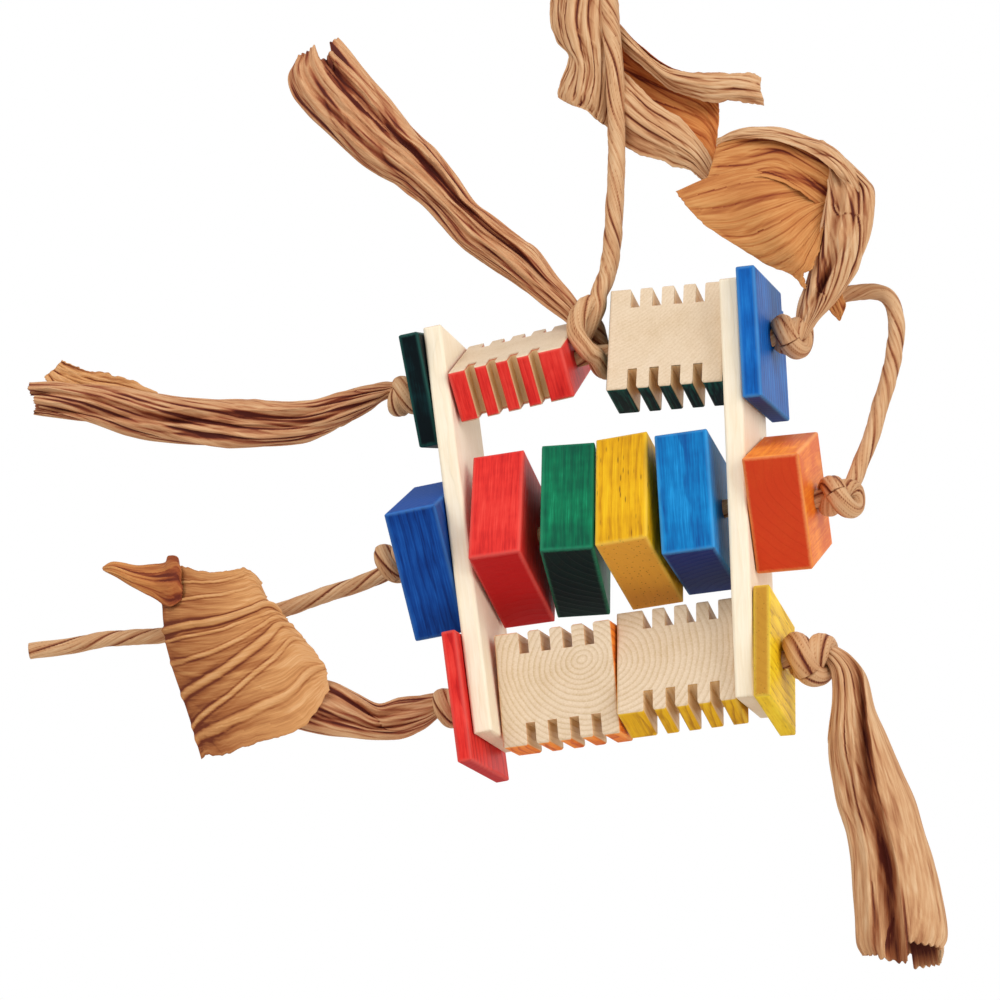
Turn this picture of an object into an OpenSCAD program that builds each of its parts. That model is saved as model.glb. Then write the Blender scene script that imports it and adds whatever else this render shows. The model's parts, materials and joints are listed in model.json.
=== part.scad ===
// Hanging parrot toy. Two pine bars carry three rows of stained pine pieces, threaded on
// twisted paper cord. A fourth cord is tied round the top row and hangs the toy on a hook.
// The origin is where the hook bears, inside the top of the hanging loop. X runs along the
// rows, Y away from the viewer and Z up.

/* [Pine] */
// Thickness of the board that the blocks and combs are cut from
board = 19; // [16:0.5:22]
// Radius of the tumbled edges of every wooden piece
ease = 1.2; // [0.6:0.1:1.8]
// Diameter of the hole through every wooden piece
bore_d = 6.7; // [6.7:0.1:9]

/* [Side bars] */
// Thickness of a bar
bar_t = 7; // [5:0.5:12]
// Depth of a bar from front to back
bar_d = 38; // [30:1:50]
// Length of bar above the top row's hole
bar_above = 18; // [12:1:30]
// Length of bar below the bottom row's hole
bar_below = 16; // [12:1:30]

/* [Combs] */
// Length of a comb along its cord
comb_l = 42.4; // [38:0.2:54]
// Height of a comb across its cord
comb_h = 40.5; // [34:0.5:46]
// Width of a saw slot
slot_w = 3.4; // [2:0.1:4]
// Depth of a saw slot
slot_depth = 8; // [4:0.5:10]
// Distance from one slot to the next
slot_pitch = 7.9; // [6.5:0.1:8.4]
// Slots in each long edge
slots = 4; // [2:1:4]
// First tooth of the red comb
red_tooth = 6.4; // [5:0.1:9]
// First tooth of the green comb
green_tooth = 7.8; // [5:0.1:9]
// First tooth of the orange comb
orange_tooth = 9; // [5:0.1:9.5]
// First tooth of the yellow comb
yellow_tooth = 9.6; // [5:0.1:10]

/* [Blocks and plates] */
// Side of the four square blocks between the bars
block = 44.6; // [38:0.2:50]
// Side of the large end pieces, the blue and red ones
large = 47; // [42:0.5:52]
// Side of the small end pieces, the green, orange and yellow ones
small = 41; // [36:0.5:46]
// Width of the orange block along its cord
orange_w = 20; // [16:0.5:26]
// Thickness of the green plate
green_t = 7.5; // [5:0.5:10]
// Thickness of the blue plate
blue_t = 7; // [5:0.5:10]
// Thickness of the red plate
red_t = 5.5; // [4:0.5:8]
// Thickness of the yellow plate
yellow_t = 6; // [4:0.5:8]
// Bark corner missing from the blue plate
wane = 7; // [3:0.5:10]

/* [Rows] */
// Space left between a turning block and a turning top comb
top_row_space = 6; // [1:0.5:20]
// Space left between a turning block and a turning bottom comb
bottom_row_space = 0.5; // [0.4:0.1:20]
// Gap between the two top combs, where the toy is tied up
tie_gap = 14; // [12:0.2:20]
// Gap between the two bottom combs
comb_gap = 0.6; // [0.6:0.1:6]
// How steeply the tie pulls the top row up into a peak, in degrees
peak = 4.2; // [0:0.2:6]
// Clearance between pieces that turn side by side
seat_gap = 0.35; // [0.3:0.05:1]
// Height of the hook above the top row
drop = 185; // [170:1:240]
// How far the toy hangs to the side of its hook
aside = 16; // [10:1:22]

/* [How far each piece is turned] */
// Red block
red_block_turn = 22; // [-45:1:45]
// Green block
green_block_turn = 19; // [-45:1:45]
// Yellow block
yellow_block_turn = 19; // [-45:1:45]
// Blue block
blue_block_turn = 6; // [-45:1:45]
// Blue end block
blue_end_turn = -26; // [-40:1:0]
// Orange end block
orange_end_turn = -25; // [-40:1:0]
// Red comb
red_comb_turn = 60; // [30:1:90]
// Green comb
green_comb_turn = 12; // [-45:1:45]
// Orange comb
orange_comb_turn = -2; // [-45:1:45]
// Yellow comb
yellow_comb_turn = 17; // [-45:1:45]
// Green plate
green_plate_turn = -14; // [-45:1:45]
// Blue plate
blue_plate_turn = -4; // [-30:1:30]
// Red plate
red_plate_turn = -1; // [-10:1:10]
// Yellow plate
yellow_plate_turn = 9; // [-30:1:30]
// Green block's hole is drilled this far out of square, in degrees
green_skew = 8; // [0:1:8]
// Yellow block's hole is drilled this far out of square
yellow_skew = -2; // [-4:1:0]
// Blue block's hole is drilled this far out of square
blue_skew = 2; // [0:1:4]

// How far the large end pieces hang below their holes
sag = 2; // [0:0.5:2.5]
// How far the yellow comb stands above its hole
stand = 1.5; // [0:0.5:2]

/* [Paper cord] */
// Diameter of the twisted paper cord
cord_d = 6.5; // [5:0.1:6.5]
// Diameter of a knot
knot_d = 15; // [12:0.5:17]
// Length of a knot along its cord
knot_l = 13; // [11:0.5:16]
// Diameter of the knot by the yellow plate
big_knot_d = 18; // [14:0.5:20]
// Width of the hanging loop inside
loop_w = 20; // [14:1:30]

/* [Hidden] */
$fn = 32;

natural = "#ecd9b4";
red = "#d8232f";
green = "#0b5a3c";
dark_green = "#06383c";
yellow = "#ecc51f";
blue = "#1c6fd0";
orange = "#ef6a24";
paper = "#c48a58";

// How far a square piece reaches above its hole when it is turned by an angle
function reach(side, turn) = side / 2 * (abs(cos(turn)) + abs(sin(turn)));
// How far a block drilled out of square reaches along its cord
function along(skew) = board / 2 * cos(skew) + block / 2 * sin(abs(skew));

comb_r = norm([board, comb_h]) / 2;
block_r = block / sqrt(2);
skews = [0, green_skew, yellow_skew, blue_skew];
// The row spacings clear the turning pieces inside the bars and the end pieces at rest
top_space = max(block_r + comb_r + top_row_space,
                reach(large, blue_end_turn) + reach(small, green_plate_turn) + seat_gap,
                reach(small, orange_end_turn) + reach(large, blue_plate_turn) + sag + seat_gap);
bottom_space = max(block_r + comb_r + stand + bottom_row_space,
                   reach(large, blue_end_turn) + reach(large, red_plate_turn) + seat_gap,
                   reach(small, orange_end_turn) + reach(small, yellow_plate_turn) + seat_gap);
rows_h = top_space + bottom_space;

// Half of the space between the bars, at the bottom row and at the top row. The bars lean,
// so the bottom combs need their room at the bars' lower ends, and the top combs at a corner.
blocks_l = 2 * (along(skews[0]) + along(skews[1]) + along(skews[2]) + along(skews[3]));
combs_least = comb_gap / 2 + comb_l + seat_gap;
combs_high = tie_gap / 2 + comb_l * cos(peak) + seat_gap;
first_lean = atan((combs_high - combs_least) / rows_h);
combs_low = combs_least + min(comb_r + stand, bar_below) * tan(first_lean);
combs_top = combs_high + comb_r * sin(abs(peak - first_lean));
share_low = top_space / rows_h;
combs_mid = combs_low * share_low + combs_top * (1 - share_low);
play_least = 4 * seat_gap + 2 * block_r * sin(first_lean);
wider = max(0, blocks_l / 2 + play_least / 2 - combs_mid);
half_low = combs_low + wider;
half_top = combs_top + wider;
half_mid = combs_mid + wider;
lean = atan((half_top - half_low) / rows_h);

top_z = -drop;
middle_z = top_z - top_space;
bottom_z = middle_z - bottom_space;
// Height of a row's cord between the bars, a little above its holes because the bars lean
lift = bar_t / 2 * sin(lean);
function half_at(z) = half_low + (z - bottom_z) * tan(lean);
function hole_x(z) = half_at(z) + bar_t / 2 / cos(lean);
// Where a row's cord leaves the bar's inner face
function inner_x(z) = hole_x(z) - bar_t / 2 * cos(lean);
peak_rise = inner_x(top_z) * tan(peak);

// Middle row, from left to right: the spare length is shared out between the gaps
spare = 2 * half_mid - blocks_l;
gap_share = [0.25, 0.1, 0.06, 0.05];
function left_gaps(i) = i < 0 ? 0 : spare * gap_share[i] + left_gaps(i - 1);
function left_blocks(i) = i < 0 ? 0 : 2 * along(skews[i]) + left_blocks(i - 1);
function block_x(i) = -half_mid + left_gaps(i) + left_blocks(i - 1) + along(skews[i]);

// Combs, from the bars inwards
low_comb_x = comb_gap / 2 + comb_l / 2;
top_comb_at = tie_gap / 2 + comb_l / 2;

// Distance from a bar's middle plane to the middle of an end piece or a knot outside it
function end_at(t) = bar_t / 2 + seat_gap + t / 2;
function knot_at(t, l) = bar_t / 2 + 2 * seat_gap + t + l / 2;

module rounded_square(w, h, r) {
    square([w - 2 * r, h], center = true);
    square([w, h - 2 * r], center = true);
    for (x = [-1, 1], y = [-1, 1])
        translate([x * (w / 2 - r), y * (h / 2 - r)]) circle(r);
}

module rounded_block(w, d, h, r = ease) {
    intersection() {
        linear_extrude(h, center = true) rounded_square(w, d, r);
        rotate([90, 0, 0]) linear_extrude(d, center = true) rounded_square(w, h, r);
        rotate([90, 0, 90]) linear_extrude(w, center = true) rounded_square(d, h, r);
    }
}

module bore(l) {
    rotate([0, 90, 0]) cylinder(d = bore_d, h = l + 2, center = true, $fn = 48);
}

// The frame of a bar at a row: X runs outwards on the right, along the bar's own hole
module at_bar(side, z) {
    translate([side * hole_x(z) - aside, 0, z]) rotate([0, side * lean, 0]) children();
}

// The frame of a row between the bars
module at_row(x, z) {
    translate([x - aside, 0, z + lift]) children();
}

// The frame of a top comb, which follows the cord up to the peak
module at_peak(side) {
    translate([-aside, 0, top_z + lift + peak_rise])
        rotate([0, side * peak, 0]) translate([side * top_comb_at, 0, 0]) children();
}

module bar(side) {
    top = top_space / cos(lean);
    low = bottom_space / cos(lean);
    // Rounded to a tenth of a millimetre, as a bar is cut
    bar_l = round(10 * (top + low + bar_above + bar_below)) / 10;
    color(natural) at_bar(side, middle_z) difference() {
        translate([0, 0, top + bar_above - bar_l / 2]) rounded_block(bar_t, bar_d, bar_l);
        for (z = [top, 0, -low]) translate([0, 0, z]) bore(bar_t);
    }
}

// A square block or plate on its hole. A skewed one keeps its hole along the row, and a
// low one hangs below its hole.
module square_piece(w, side, turn, skew = 0, low = 0) {
    rotate([-turn, 0, 0]) difference() {
        translate([0, 0, -low]) rotate([0, 0, skew]) rounded_block(w, side, side);
        bore(w + side * sin(abs(skew)));
    }
}

// A comb: a slab whose two long edges are sawn into teeth
module comb(first_tooth, turn, high = 0) {
    edges = [for (i = [0:slots]) i == 0 ? -comb_l / 2 : -comb_l / 2 + first_tooth + (i - 1) * slot_pitch + slot_w];
    ends = [for (i = [0:slots]) i == slots ? comb_l / 2 : -comb_l / 2 + first_tooth + i * slot_pitch];
    rotate([-turn, 0, 0]) difference() {
        translate([0, 0, high]) intersection() {
            rotate([90, 0, 0]) linear_extrude(board, center = true) {
                square([comb_l - 2 * ease, comb_h - 2 * slot_depth], center = true);
                for (i = [0:slots])
                    translate([(edges[i] + ends[i]) / 2, 0])
                        rounded_square(ends[i] - edges[i], comb_h, ease);
            }
            rounded_block(comb_l, board, comb_h, ease);
        }
        bore(comb_l);
    }
}

// A ring of a folded sheet: from edge a to edge b, thick in its middle, pleated by f
function fold(u, pleats) = 2 * abs(2 * (u * pleats - floor(u * pleats)) - 1) - 1;
function body(u, t) = t * (0.15 + 0.35 * sin(180 * u));
function ring(r, n, pleats, up) = let (a = r[0], b = r[1], t = r[2], f = r[3]) [
    for (i = [0:n]) let (u = i / n) a + (b - a) * u + up * (f * fold(u, pleats) + body(u, t)),
    for (i = [n:-1:0]) let (u = i / n) a + (b - a) * u + up * (f * fold(u, pleats) - body(u, t))
];
function unit(v) = v / norm(v);
function middle(r) = (r[0] + r[1]) / 2;
function heading(rs, i) = middle(rs[min(i + 1, len(rs) - 1)]) - middle(rs[max(i - 1, 0)]);

// Paper gathered at its knot and opening into pleats. Each row of rs is one cross-section:
// its two edges, its thickness and the depth of its pleats.
module gathered(rs, pleats) {
    n = 2 * pleats;
    m = 2 * (n + 1);
    last = (len(rs) - 1) * m;
    points = [for (i = [0:len(rs) - 1])
        each ring(rs[i], n, pleats, unit(cross(heading(rs, i), rs[i][1] - rs[i][0])))];
    polyhedron(points, concat(
        [for (i = [0:len(rs) - 2], j = [0:m - 1])
            [i * m + j, (i + 1) * m + (j + 1) % m, (i + 1) * m + j]],
        [for (i = [0:len(rs) - 2], j = [0:m - 1])
            [i * m + j, i * m + (j + 1) % m, (i + 1) * m + (j + 1) % m]],
        [for (j = [0:n - 1]) each [[j, m - 1 - j, j + 1], [j + 1, m - 1 - j, m - 2 - j]]],
        [for (j = [0:n - 1]) each [[last + j, last + j + 1, last + m - 1 - j],
                                   [last + j + 1, last + m - 2 - j, last + m - 1 - j]]]));
}

// Faces of a skin of rings, each ring of k points
function skin(rings, k) = concat(
    [[for (j = [0:k - 1]) j]],
    [for (i = [0:rings - 2], j = [0:k - 1]) each [
        [i * k + j, (i + 1) * k + j, (i + 1) * k + (j + 1) % k],
        [i * k + j, (i + 1) * k + (j + 1) % k, i * k + (j + 1) % k]]],
    [[for (j = [k - 1:-1:0]) (rings - 1) * k + j]]);

// A round cord along a route that never runs along flat
module tube(route, d = cord_d, flat = [0, 1, 0], sides = 10) {
    last = len(route) - 1;
    points = [for (i = [0:last]) let (
        t = unit(route[min(i + 1, last)] - route[max(i - 1, 0)]), a = unit(cross(t, flat)), b = cross(t, a))
        for (k = [0:sides - 1]) route[i] + d / 2 * (a * cos(360 * k / sides) + b * sin(360 * k / sides))];
    polyhedron(points, skin(last + 1, sides));
}

// A tight overhand knot: a barrel with the turns of the cord standing out slantwise
function knot_r(s, a) = pow(sin(180 * s), 0.45) * (1 - 0.13 * pow(abs(sin(a + 150 * s)), 3));
module knot(d, l, sides = 20, rings = 9) {
    points = [for (i = [0:rings]) let (s = 0.04 + 0.92 * i / rings)
        for (k = [0:sides - 1]) let (a = 360 * k / sides, r = d / 2 * knot_r(s, a))
            [l * (s - 0.5) / 0.92, r * cos(a), r * sin(a)]];
    polyhedron(points, skin(rings + 1, sides));
}

// The cord inside a row, from the knot's place outside one end piece to the other
function row_route(z, left, right, rise) = [
    [-hole_x(z) - left * cos(lean), 0, z - left * sin(lean)],
    [-inner_x(z), 0, z + lift],
    if (rise > 0) [0, 0, z + lift + rise],
    [inner_x(z), 0, z + lift],
    [hole_x(z) + right * cos(lean), 0, z - right * sin(lean)]
];

// Distances of the knots from their bars' middle planes
short_knot = knot_l - 2;
long_knot = knot_l + 3;
top_left = knot_at(green_t, knot_l);
top_right = knot_at(blue_t, knot_l);
middle_left = knot_at(board, knot_l);
middle_right = knot_at(orange_w, long_knot);
bottom_left = knot_at(red_t, short_knot);
bottom_right = knot_at(yellow_t, big_knot_d);

// The tie: how high the peak of the top cord is, the width of one turn round it and how
// far the turns stand from it
peak_z = top_z + lift + peak_rise;
turn_d = tie_gap / 2 - 2 * cord_d * sin(peak) - seat_gap;
turn_r = (cord_d + turn_d) / 2 + 0.3;
tie_z = 2.4 * turn_r;
// The hanging loop
loop_r = (loop_w + cord_d) / 2;
top_knot_z = -loop_w - knot_l;
// The hanging cord, as shares of the way aside and of the way up to its top knot
rope = [[0, 0.08], [0.12, 0.12], [0.4, 0.19], [0.56, 0.25], [0.75, 0.38], [0.87, 0.49], [0.94, 0.59],
        [1, 0.73], [1, 0.87], [1, 1]];

// Opened paper ends, from their knot's middle
top_left_tail = [
    [[-3, -2, 3], [-3, 2, -3], 5, 0],
    [[-14, -3, 5], [-12, 3, -4], 5, 1],
    [[-24, -5, 4], [-21, 4, -6], 4, 1.5],
    [[-37, -6, 0], [-35, 5, -8], 4, 2],
    [[-52, -6, 2], [-54, 6, -8], 3, 2],
    [[-70, -7, 6], [-71, 7, -6], 3, 2.5],
    [[-90, -8, 11], [-89, 8, -2], 3, 2.5],
    [[-106, -9, 20], [-108, 8, 3], 2, 3],
    [[-120, -10, 25], [-128, 9, 13], 2, 3],
    [[-140, -9, 26], [-143, 10, 18], 2, 2]
];
top_right_stalk = [
    [[1, -2, 4], [5, 2, 0], 5, 0],
    [[5, -3, 12], [14, 3, 10], 4, 1],
    [[9, -4, 22], [24, 3, 19], 4, 1.5],
    [[14, -5, 35], [30, 3, 32], 3, 2],
    [[17, -6, 46], [34, 2, 46], 3, 2],
    [[17, -7, 57], [27, 0, 59], 3, 2],
    [[13, -7, 65], [19, -3, 69], 3, 1.5]
];
top_right_fan = [
    [[20, -6, 57], [20, -6, 43], 3, 1],
    [[12, -8, 65], [16, -8, 30], 2.5, 2],
    [[3, -9, 72], [10, -10, 18], 2, 2.5],
    [[-9, -10, 73], [-3, -11, 33], 2, 3],
    [[-21, -10, 67], [-15, -11, 38], 2, 3],
    [[-31, -9, 58], [-29, -9, 50], 2, 2]
];
bottom_left_tail = [
    [[-3, -2, 3], [-3, 2, -3], 5, 0],
    [[-14, -5, 3], [-13, 0, -7], 4, 1],
    [[-24, -8, 0], [-24, -2, -10], 4, 1.5],
    [[-33, -11, 6], [-39, -6, -8], 3, 2],
    [[-43, -13, 12], [-56, -10, -6], 3, 2.5],
    [[-46, -14, 19], [-73, -13, -9], 3, 3],
    [[-51, -15, 25], [-91, -16, -10], 3, 3],
    [[-55, -15, 34], [-93, -18, 2], 2, 3],
    [[-63, -15, 44], [-97, -18, 16], 2, 3],
    [[-69, -14, 54], [-101, -17, 33], 2, 3],
    [[-83, -14, 59], [-104, -15, 44], 2, 2.5],
    [[-96, -13, 63], [-109, -14, 51], 2, 2],
    [[-112, -12, 66], [-119, -13, 58], 2, 1.5],
    [[-124, -12, 67], [-123, -12, 63], 2, 0.5]
];
bottom_right_tail = [
    [[1, -3, -2], [8, 3, 2], 6, 0],
    [[7, -4, -9], [17, 4, -8], 5, 1],
    [[6, -5, -18], [20, 5, -19], 4, 1.5],
    [[3, -6, -33], [25, 6, -34], 3, 2],
    [[4, -7, -52], [31, 7, -52], 3, 2.5],
    [[7, -8, -68], [33, 8, -67], 3, 2.5],
    [[6, -8, -90], [37, 8, -86], 2, 3],
    [[6, -9, -104], [39, 9, -101], 2, 3],
    [[13, -8, -112], [33, 8, -113], 2, 2]
];
tie_tail = [
    [[-3, -2, 13], [3, 2, 14], 5, 0],
    [[-6, -3, 22], [1, 3, 23], 4, 1],
    [[-11, -4, 26], [-3, 3, 31], 4, 1.5],
    [[-24, -4, 31], [-13, 4, 39], 3, 2],
    [[-45, -5, 49], [-29, 4, 56], 3, 2],
    [[-57, -6, 64], [-40, 4, 68], 3, 2],
    [[-68, -7, 75], [-48, 5, 80], 2.5, 2.5],
    [[-81, -7, 86], [-56, 5, 92], 2.5, 2.5],
    [[-94, -8, 99], [-67, 6, 109], 2.5, 2.5],
    [[-107, -8, 115], [-82, 6, 129], 2.5, 2.5],
    [[-113, -8, 124], [-91, 6, 138], 2.5, 2]
];
top_knot_tail = [
    [[-4, 2, -3], [3, 2, -5], 5, 0],
    [[-18, 5, -6], [-5, 6, -13], 5, 1],
    [[-24, 7, -18], [-2, 9, -21], 4, 1.5],
    [[-24, 8, -31], [6, 10, -32], 4, 2],
    [[-22, 8, -44], [21, 10, -42], 3, 2.5],
    [[-16, 7, -56], [38, 9, -48], 3, 3],
    [[-5, 6, -67], [50, 8, -58], 2, 3],
    [[8, 5, -76], [50, 7, -68], 2, 3],
    [[26, 4, -86], [40, 6, -81], 2, 2]
];
// Neat cord ends
middle_left_end = [[-3, 0, 0], [-9, 1, -3], [-20, 2, -7], [-34, 3, -9], [-48, 4, -12], [-66, 4, -13],
                   [-89, 4, -13], [-111, 3, -12], [-128, 2, -13], [-141, 0, -12]];
middle_right_end = [[3, 0, 0], [9, 3, 5], [12, 6, 13], [15, 8, 23], [18, 9, 33], [21, 10, 43], [24, 11, 55],
                    [25, 12, 66], [19, 12, 73], [8, 12, 74], [1, 12, 69]];

module left_bar() { bar(-1); }
module right_bar() { bar(1); }

module green_plate() {
    color(dark_green) at_bar(-1, top_z) translate([-end_at(green_t), 0, 0])
        square_piece(green_t, small, green_plate_turn);
}

module blue_plate() {
    color(blue) at_bar(1, top_z) translate([end_at(blue_t), 0, 0]) rotate([-blue_plate_turn, 0, 0])
        difference() {
            square_piece(blue_t, large, 0, low = sag);
            translate([blue_t / 2, large / 2, large / 2 - sag]) rotate([0, 0, -20])
                cube([blue_t * 1.2, wane, 2 * wane], center = true);
        }
}

module red_plate() {
    color(red) at_bar(-1, bottom_z) translate([-end_at(red_t), 0, 0])
        square_piece(red_t, large, red_plate_turn, low = sag);
}

module yellow_plate() {
    color(yellow) at_bar(1, bottom_z) translate([end_at(yellow_t), 0, 0])
        square_piece(yellow_t, small, yellow_plate_turn);
}

module blue_end_block() {
    color(blue) at_bar(-1, middle_z) translate([-end_at(board), 0, 0])
        square_piece(board, large, blue_end_turn, low = sag);
}

module orange_end_block() {
    color(orange) at_bar(1, middle_z) translate([end_at(orange_w), 0, 0])
        square_piece(orange_w, small, orange_end_turn);
}

module red_block() {
    color(red) at_row(block_x(0), middle_z) square_piece(board, block, red_block_turn, skews[0]);
}

module green_block() {
    color(green) at_row(block_x(1), middle_z) square_piece(board, block, green_block_turn, skews[1]);
}

module yellow_block() {
    color(yellow) at_row(block_x(2), middle_z) square_piece(board, block, yellow_block_turn, skews[2]);
}

module blue_block() {
    color(blue) at_row(block_x(3), middle_z) square_piece(board, block, blue_block_turn, skews[3]);
}

module red_comb() { color(red) at_peak(-1) comb(red_tooth, red_comb_turn); }
module green_comb() { color(dark_green) at_peak(1) comb(green_tooth, green_comb_turn); }
module orange_comb() {
    color(orange) at_row(-low_comb_x, bottom_z) comb(orange_tooth, orange_comb_turn);
}
module yellow_comb() {
    color(yellow) at_row(low_comb_x, bottom_z) comb(yellow_tooth, yellow_comb_turn, stand);
}

// A knot outside a bar, and what leaves it. What leaves it stays square to the rows.
module at_knot(side, z, out) {
    at_bar(side, z) translate([side * out, 0, 0]) children();
}
module off_knot(side, z, out) {
    at_knot(side, z, out) rotate([0, -side * lean, 0]) children();
}

module top_cord() {
    color(paper) {
        translate([-aside, 0, 0]) tube(row_route(top_z, top_left, top_right, peak_rise));
        at_knot(-1, top_z, top_left) knot(knot_d, knot_l);
        at_knot(1, top_z, top_right) knot(knot_d, knot_l);
        off_knot(-1, top_z, top_left) gathered(top_left_tail, 4);
        off_knot(1, top_z, top_right) gathered(top_right_stalk, 3);
        off_knot(1, top_z, top_right) gathered(top_right_fan, 7);
    }
}

module middle_cord() {
    color(paper) {
        translate([-aside, 0, 0]) tube(row_route(middle_z, middle_left, middle_right, 0));
        at_knot(-1, middle_z, middle_left) knot(knot_d, knot_l);
        at_knot(1, middle_z, middle_right) knot(knot_d, long_knot);
        off_knot(-1, middle_z, middle_left) tube(middle_left_end);
        off_knot(1, middle_z, middle_right) tube(middle_right_end);
    }
}

module bottom_cord() {
    color(paper) {
        translate([-aside, 0, 0]) tube(row_route(bottom_z, bottom_left, bottom_right, 0));
        at_knot(-1, bottom_z, bottom_left) knot(knot_d, short_knot);
        at_knot(1, bottom_z, bottom_right) knot(big_knot_d, big_knot_d);
        off_knot(-1, bottom_z, bottom_left) gathered(bottom_left_tail, 6);
        off_knot(1, bottom_z, bottom_right) gathered(bottom_right_tail, 5);
    }
}

// Two turns round the top cord, the knot over them, the cord up to its top knot and the loop
module hanging_cord() {
    rise = top_knot_z - peak_z;
    color(paper) {
        translate([-aside, 0, peak_z]) {
            for (x = [-turn_d / 2, turn_d / 2])
                tube([[x, 0, tie_z], for (a = [150:30:390]) [x, turn_r * cos(a), turn_r * sin(a)], [x, 0, tie_z]],
                     turn_d, [1, 0, 0]);
            translate([0, 0, tie_z]) rotate([0, 90, 0]) knot(2 * cord_d, knot_l);
            tube([for (p = rope) [p.x * aside, 0, p.y * rise]]);
            gathered(tie_tail, 7);
        }
        translate([0, 0, top_knot_z]) {
            rotate([0, 90, 0]) knot(knot_d, knot_l);
            gathered(top_knot_tail, 5);
        }
        tube([[2, 0, top_knot_z],
              for (a = [-40:20:220]) [loop_r * cos(a), 0, cord_d / 2 - loop_r + loop_r * sin(a)],
              [-2, 0, top_knot_z]]);
    }
}

left_bar();
right_bar();
green_plate();
red_comb();
green_comb();
blue_plate();
blue_end_block();
red_block();
green_block();
yellow_block();
blue_block();
orange_end_block();
red_plate();
orange_comb();
yellow_comb();
yellow_plate();
top_cord();
middle_cord();
bottom_cord();
hanging_cord();
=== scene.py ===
"""Looks of a hanging parrot chew toy: stained pine pieces strung on twisted kraft-paper cord.

Every length is worked in millimetres in the CAD frame and divided by 1000 where a mesh is made.
X runs along the rows, Y away from the viewer, Z up, and the origin is where the hook bears.
"""

import json
import math

import bpy
import numpy as np
from mathutils import Matrix, Vector

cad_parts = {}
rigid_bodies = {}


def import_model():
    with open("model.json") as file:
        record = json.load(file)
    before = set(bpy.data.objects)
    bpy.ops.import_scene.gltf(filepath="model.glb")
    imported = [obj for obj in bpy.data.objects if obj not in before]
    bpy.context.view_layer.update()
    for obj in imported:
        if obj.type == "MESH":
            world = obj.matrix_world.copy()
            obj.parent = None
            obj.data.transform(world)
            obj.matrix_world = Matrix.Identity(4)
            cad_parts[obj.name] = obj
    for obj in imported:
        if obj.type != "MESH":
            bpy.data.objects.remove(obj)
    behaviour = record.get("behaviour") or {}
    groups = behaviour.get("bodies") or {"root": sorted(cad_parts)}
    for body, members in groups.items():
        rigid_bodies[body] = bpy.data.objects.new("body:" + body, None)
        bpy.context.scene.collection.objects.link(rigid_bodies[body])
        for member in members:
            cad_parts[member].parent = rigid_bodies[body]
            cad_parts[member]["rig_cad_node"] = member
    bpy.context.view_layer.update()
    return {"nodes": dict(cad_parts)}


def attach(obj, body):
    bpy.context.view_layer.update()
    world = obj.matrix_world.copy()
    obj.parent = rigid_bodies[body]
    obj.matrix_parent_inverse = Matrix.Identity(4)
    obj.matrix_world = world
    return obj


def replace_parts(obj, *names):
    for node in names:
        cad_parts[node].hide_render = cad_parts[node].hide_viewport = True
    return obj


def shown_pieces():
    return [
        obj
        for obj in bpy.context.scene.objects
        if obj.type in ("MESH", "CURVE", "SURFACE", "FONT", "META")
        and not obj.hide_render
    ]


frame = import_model()
MM = 0.001
# One unit of the paper's own UV map is this many mm
UV_MM = 10
# A whole turn, in radians, as the folds round a tube are counted
TURN = 6.2832
# Thickness of the paper, in mm
PAPER_THICK = 0.3

# ---------------------------------------------------------------- camera

# The photograph's viewpoint, in mm, and the camera's own directions
EYE = np.array([295.2, -1285.4, -596.7])
RIGHT = np.array([0.9567, 0.2817, -0.0730])
UP = np.array([0.1428, -0.2357, 0.9613])
AHEAD = np.array([-0.2536, 0.9301, 0.2657])
FOCAL = 3.87987
SENSOR = 36.0
HALF_FRAME = 500.0


def make_camera():
    """A long lens below the toy, rolled so that the rows climb to the right."""
    data = bpy.data.cameras.new("camera")
    data.sensor_width = SENSOR
    data.lens = FOCAL * SENSOR
    data.clip_start = 0.05
    data.clip_end = 20
    cam = bpy.data.objects.new("camera", data)
    bpy.context.scene.collection.objects.link(cam)
    turn = Matrix([[RIGHT[i], UP[i], -AHEAD[i]] for i in range(3)]).to_4x4()
    cam.matrix_world = Matrix.Translation(Vector(EYE * MM)) @ turn
    bpy.context.scene.camera = cam


def seen(points):
    """Points given as picture x, picture y and depth y in mm behind the rows' plane, put
    where the camera sees them: along the ray through the picture point, as far as that depth."""
    p = np.asarray(points, float)
    ray = (
        AHEAD
        + RIGHT * (p[..., :1] - HALF_FRAME) / (2 * HALF_FRAME * FOCAL)
        - UP * (p[..., 1:2] - HALF_FRAME) / (2 * HALF_FRAME * FOCAL)
    )
    return EYE + ray * ((p[..., 2:] - EYE[1]) / ray[..., 1:2])


make_camera()

# ---------------------------------------------------------------- shapes


def smooth(rows, n):
    """Catmull-Rom curve through rows of points or numbers, sampled n times evenly by row."""
    r = np.asarray(rows, float)
    r = np.concatenate([2 * r[:1] - r[1:2], r, 2 * r[-1:] - r[-2:-1]])
    at = np.linspace(0, len(r) - 3, n)
    i = np.minimum(at.astype(int), len(r) - 4)
    t = (at - i).reshape((-1,) + (1,) * (r.ndim - 1))
    a, b, c, d = (r[i + k] for k in range(4))
    return 0.5 * (2 * b + (c - a) * t + (2 * a - 5 * b + 4 * c - d) * t**2 + (3 * b - a - 3 * c + d) * t**3)


def even(path, n):
    """The same curve resampled at n points evenly spaced along it."""
    fine = smooth(path, 40 * len(path))
    run = np.concatenate([[0], np.cumsum(np.linalg.norm(np.diff(fine, axis=0), axis=1))])
    at = np.linspace(0, run[-1], n)
    return np.stack([np.interp(at, run, fine[:, k]) for k in range(fine.shape[1])], 1)


def unit(v):
    """The same vectors at length 1."""
    return v / np.maximum(np.linalg.norm(v, axis=-1, keepdims=True), 1e-9)


def frames(path, flat):
    """Along the path, across it in the plane square to flat, and square to both."""
    along = unit(np.gradient(path, axis=0))
    across = unit(np.cross(np.broadcast_to(flat, path.shape), along))
    return along, across, np.cross(along, across)


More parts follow.
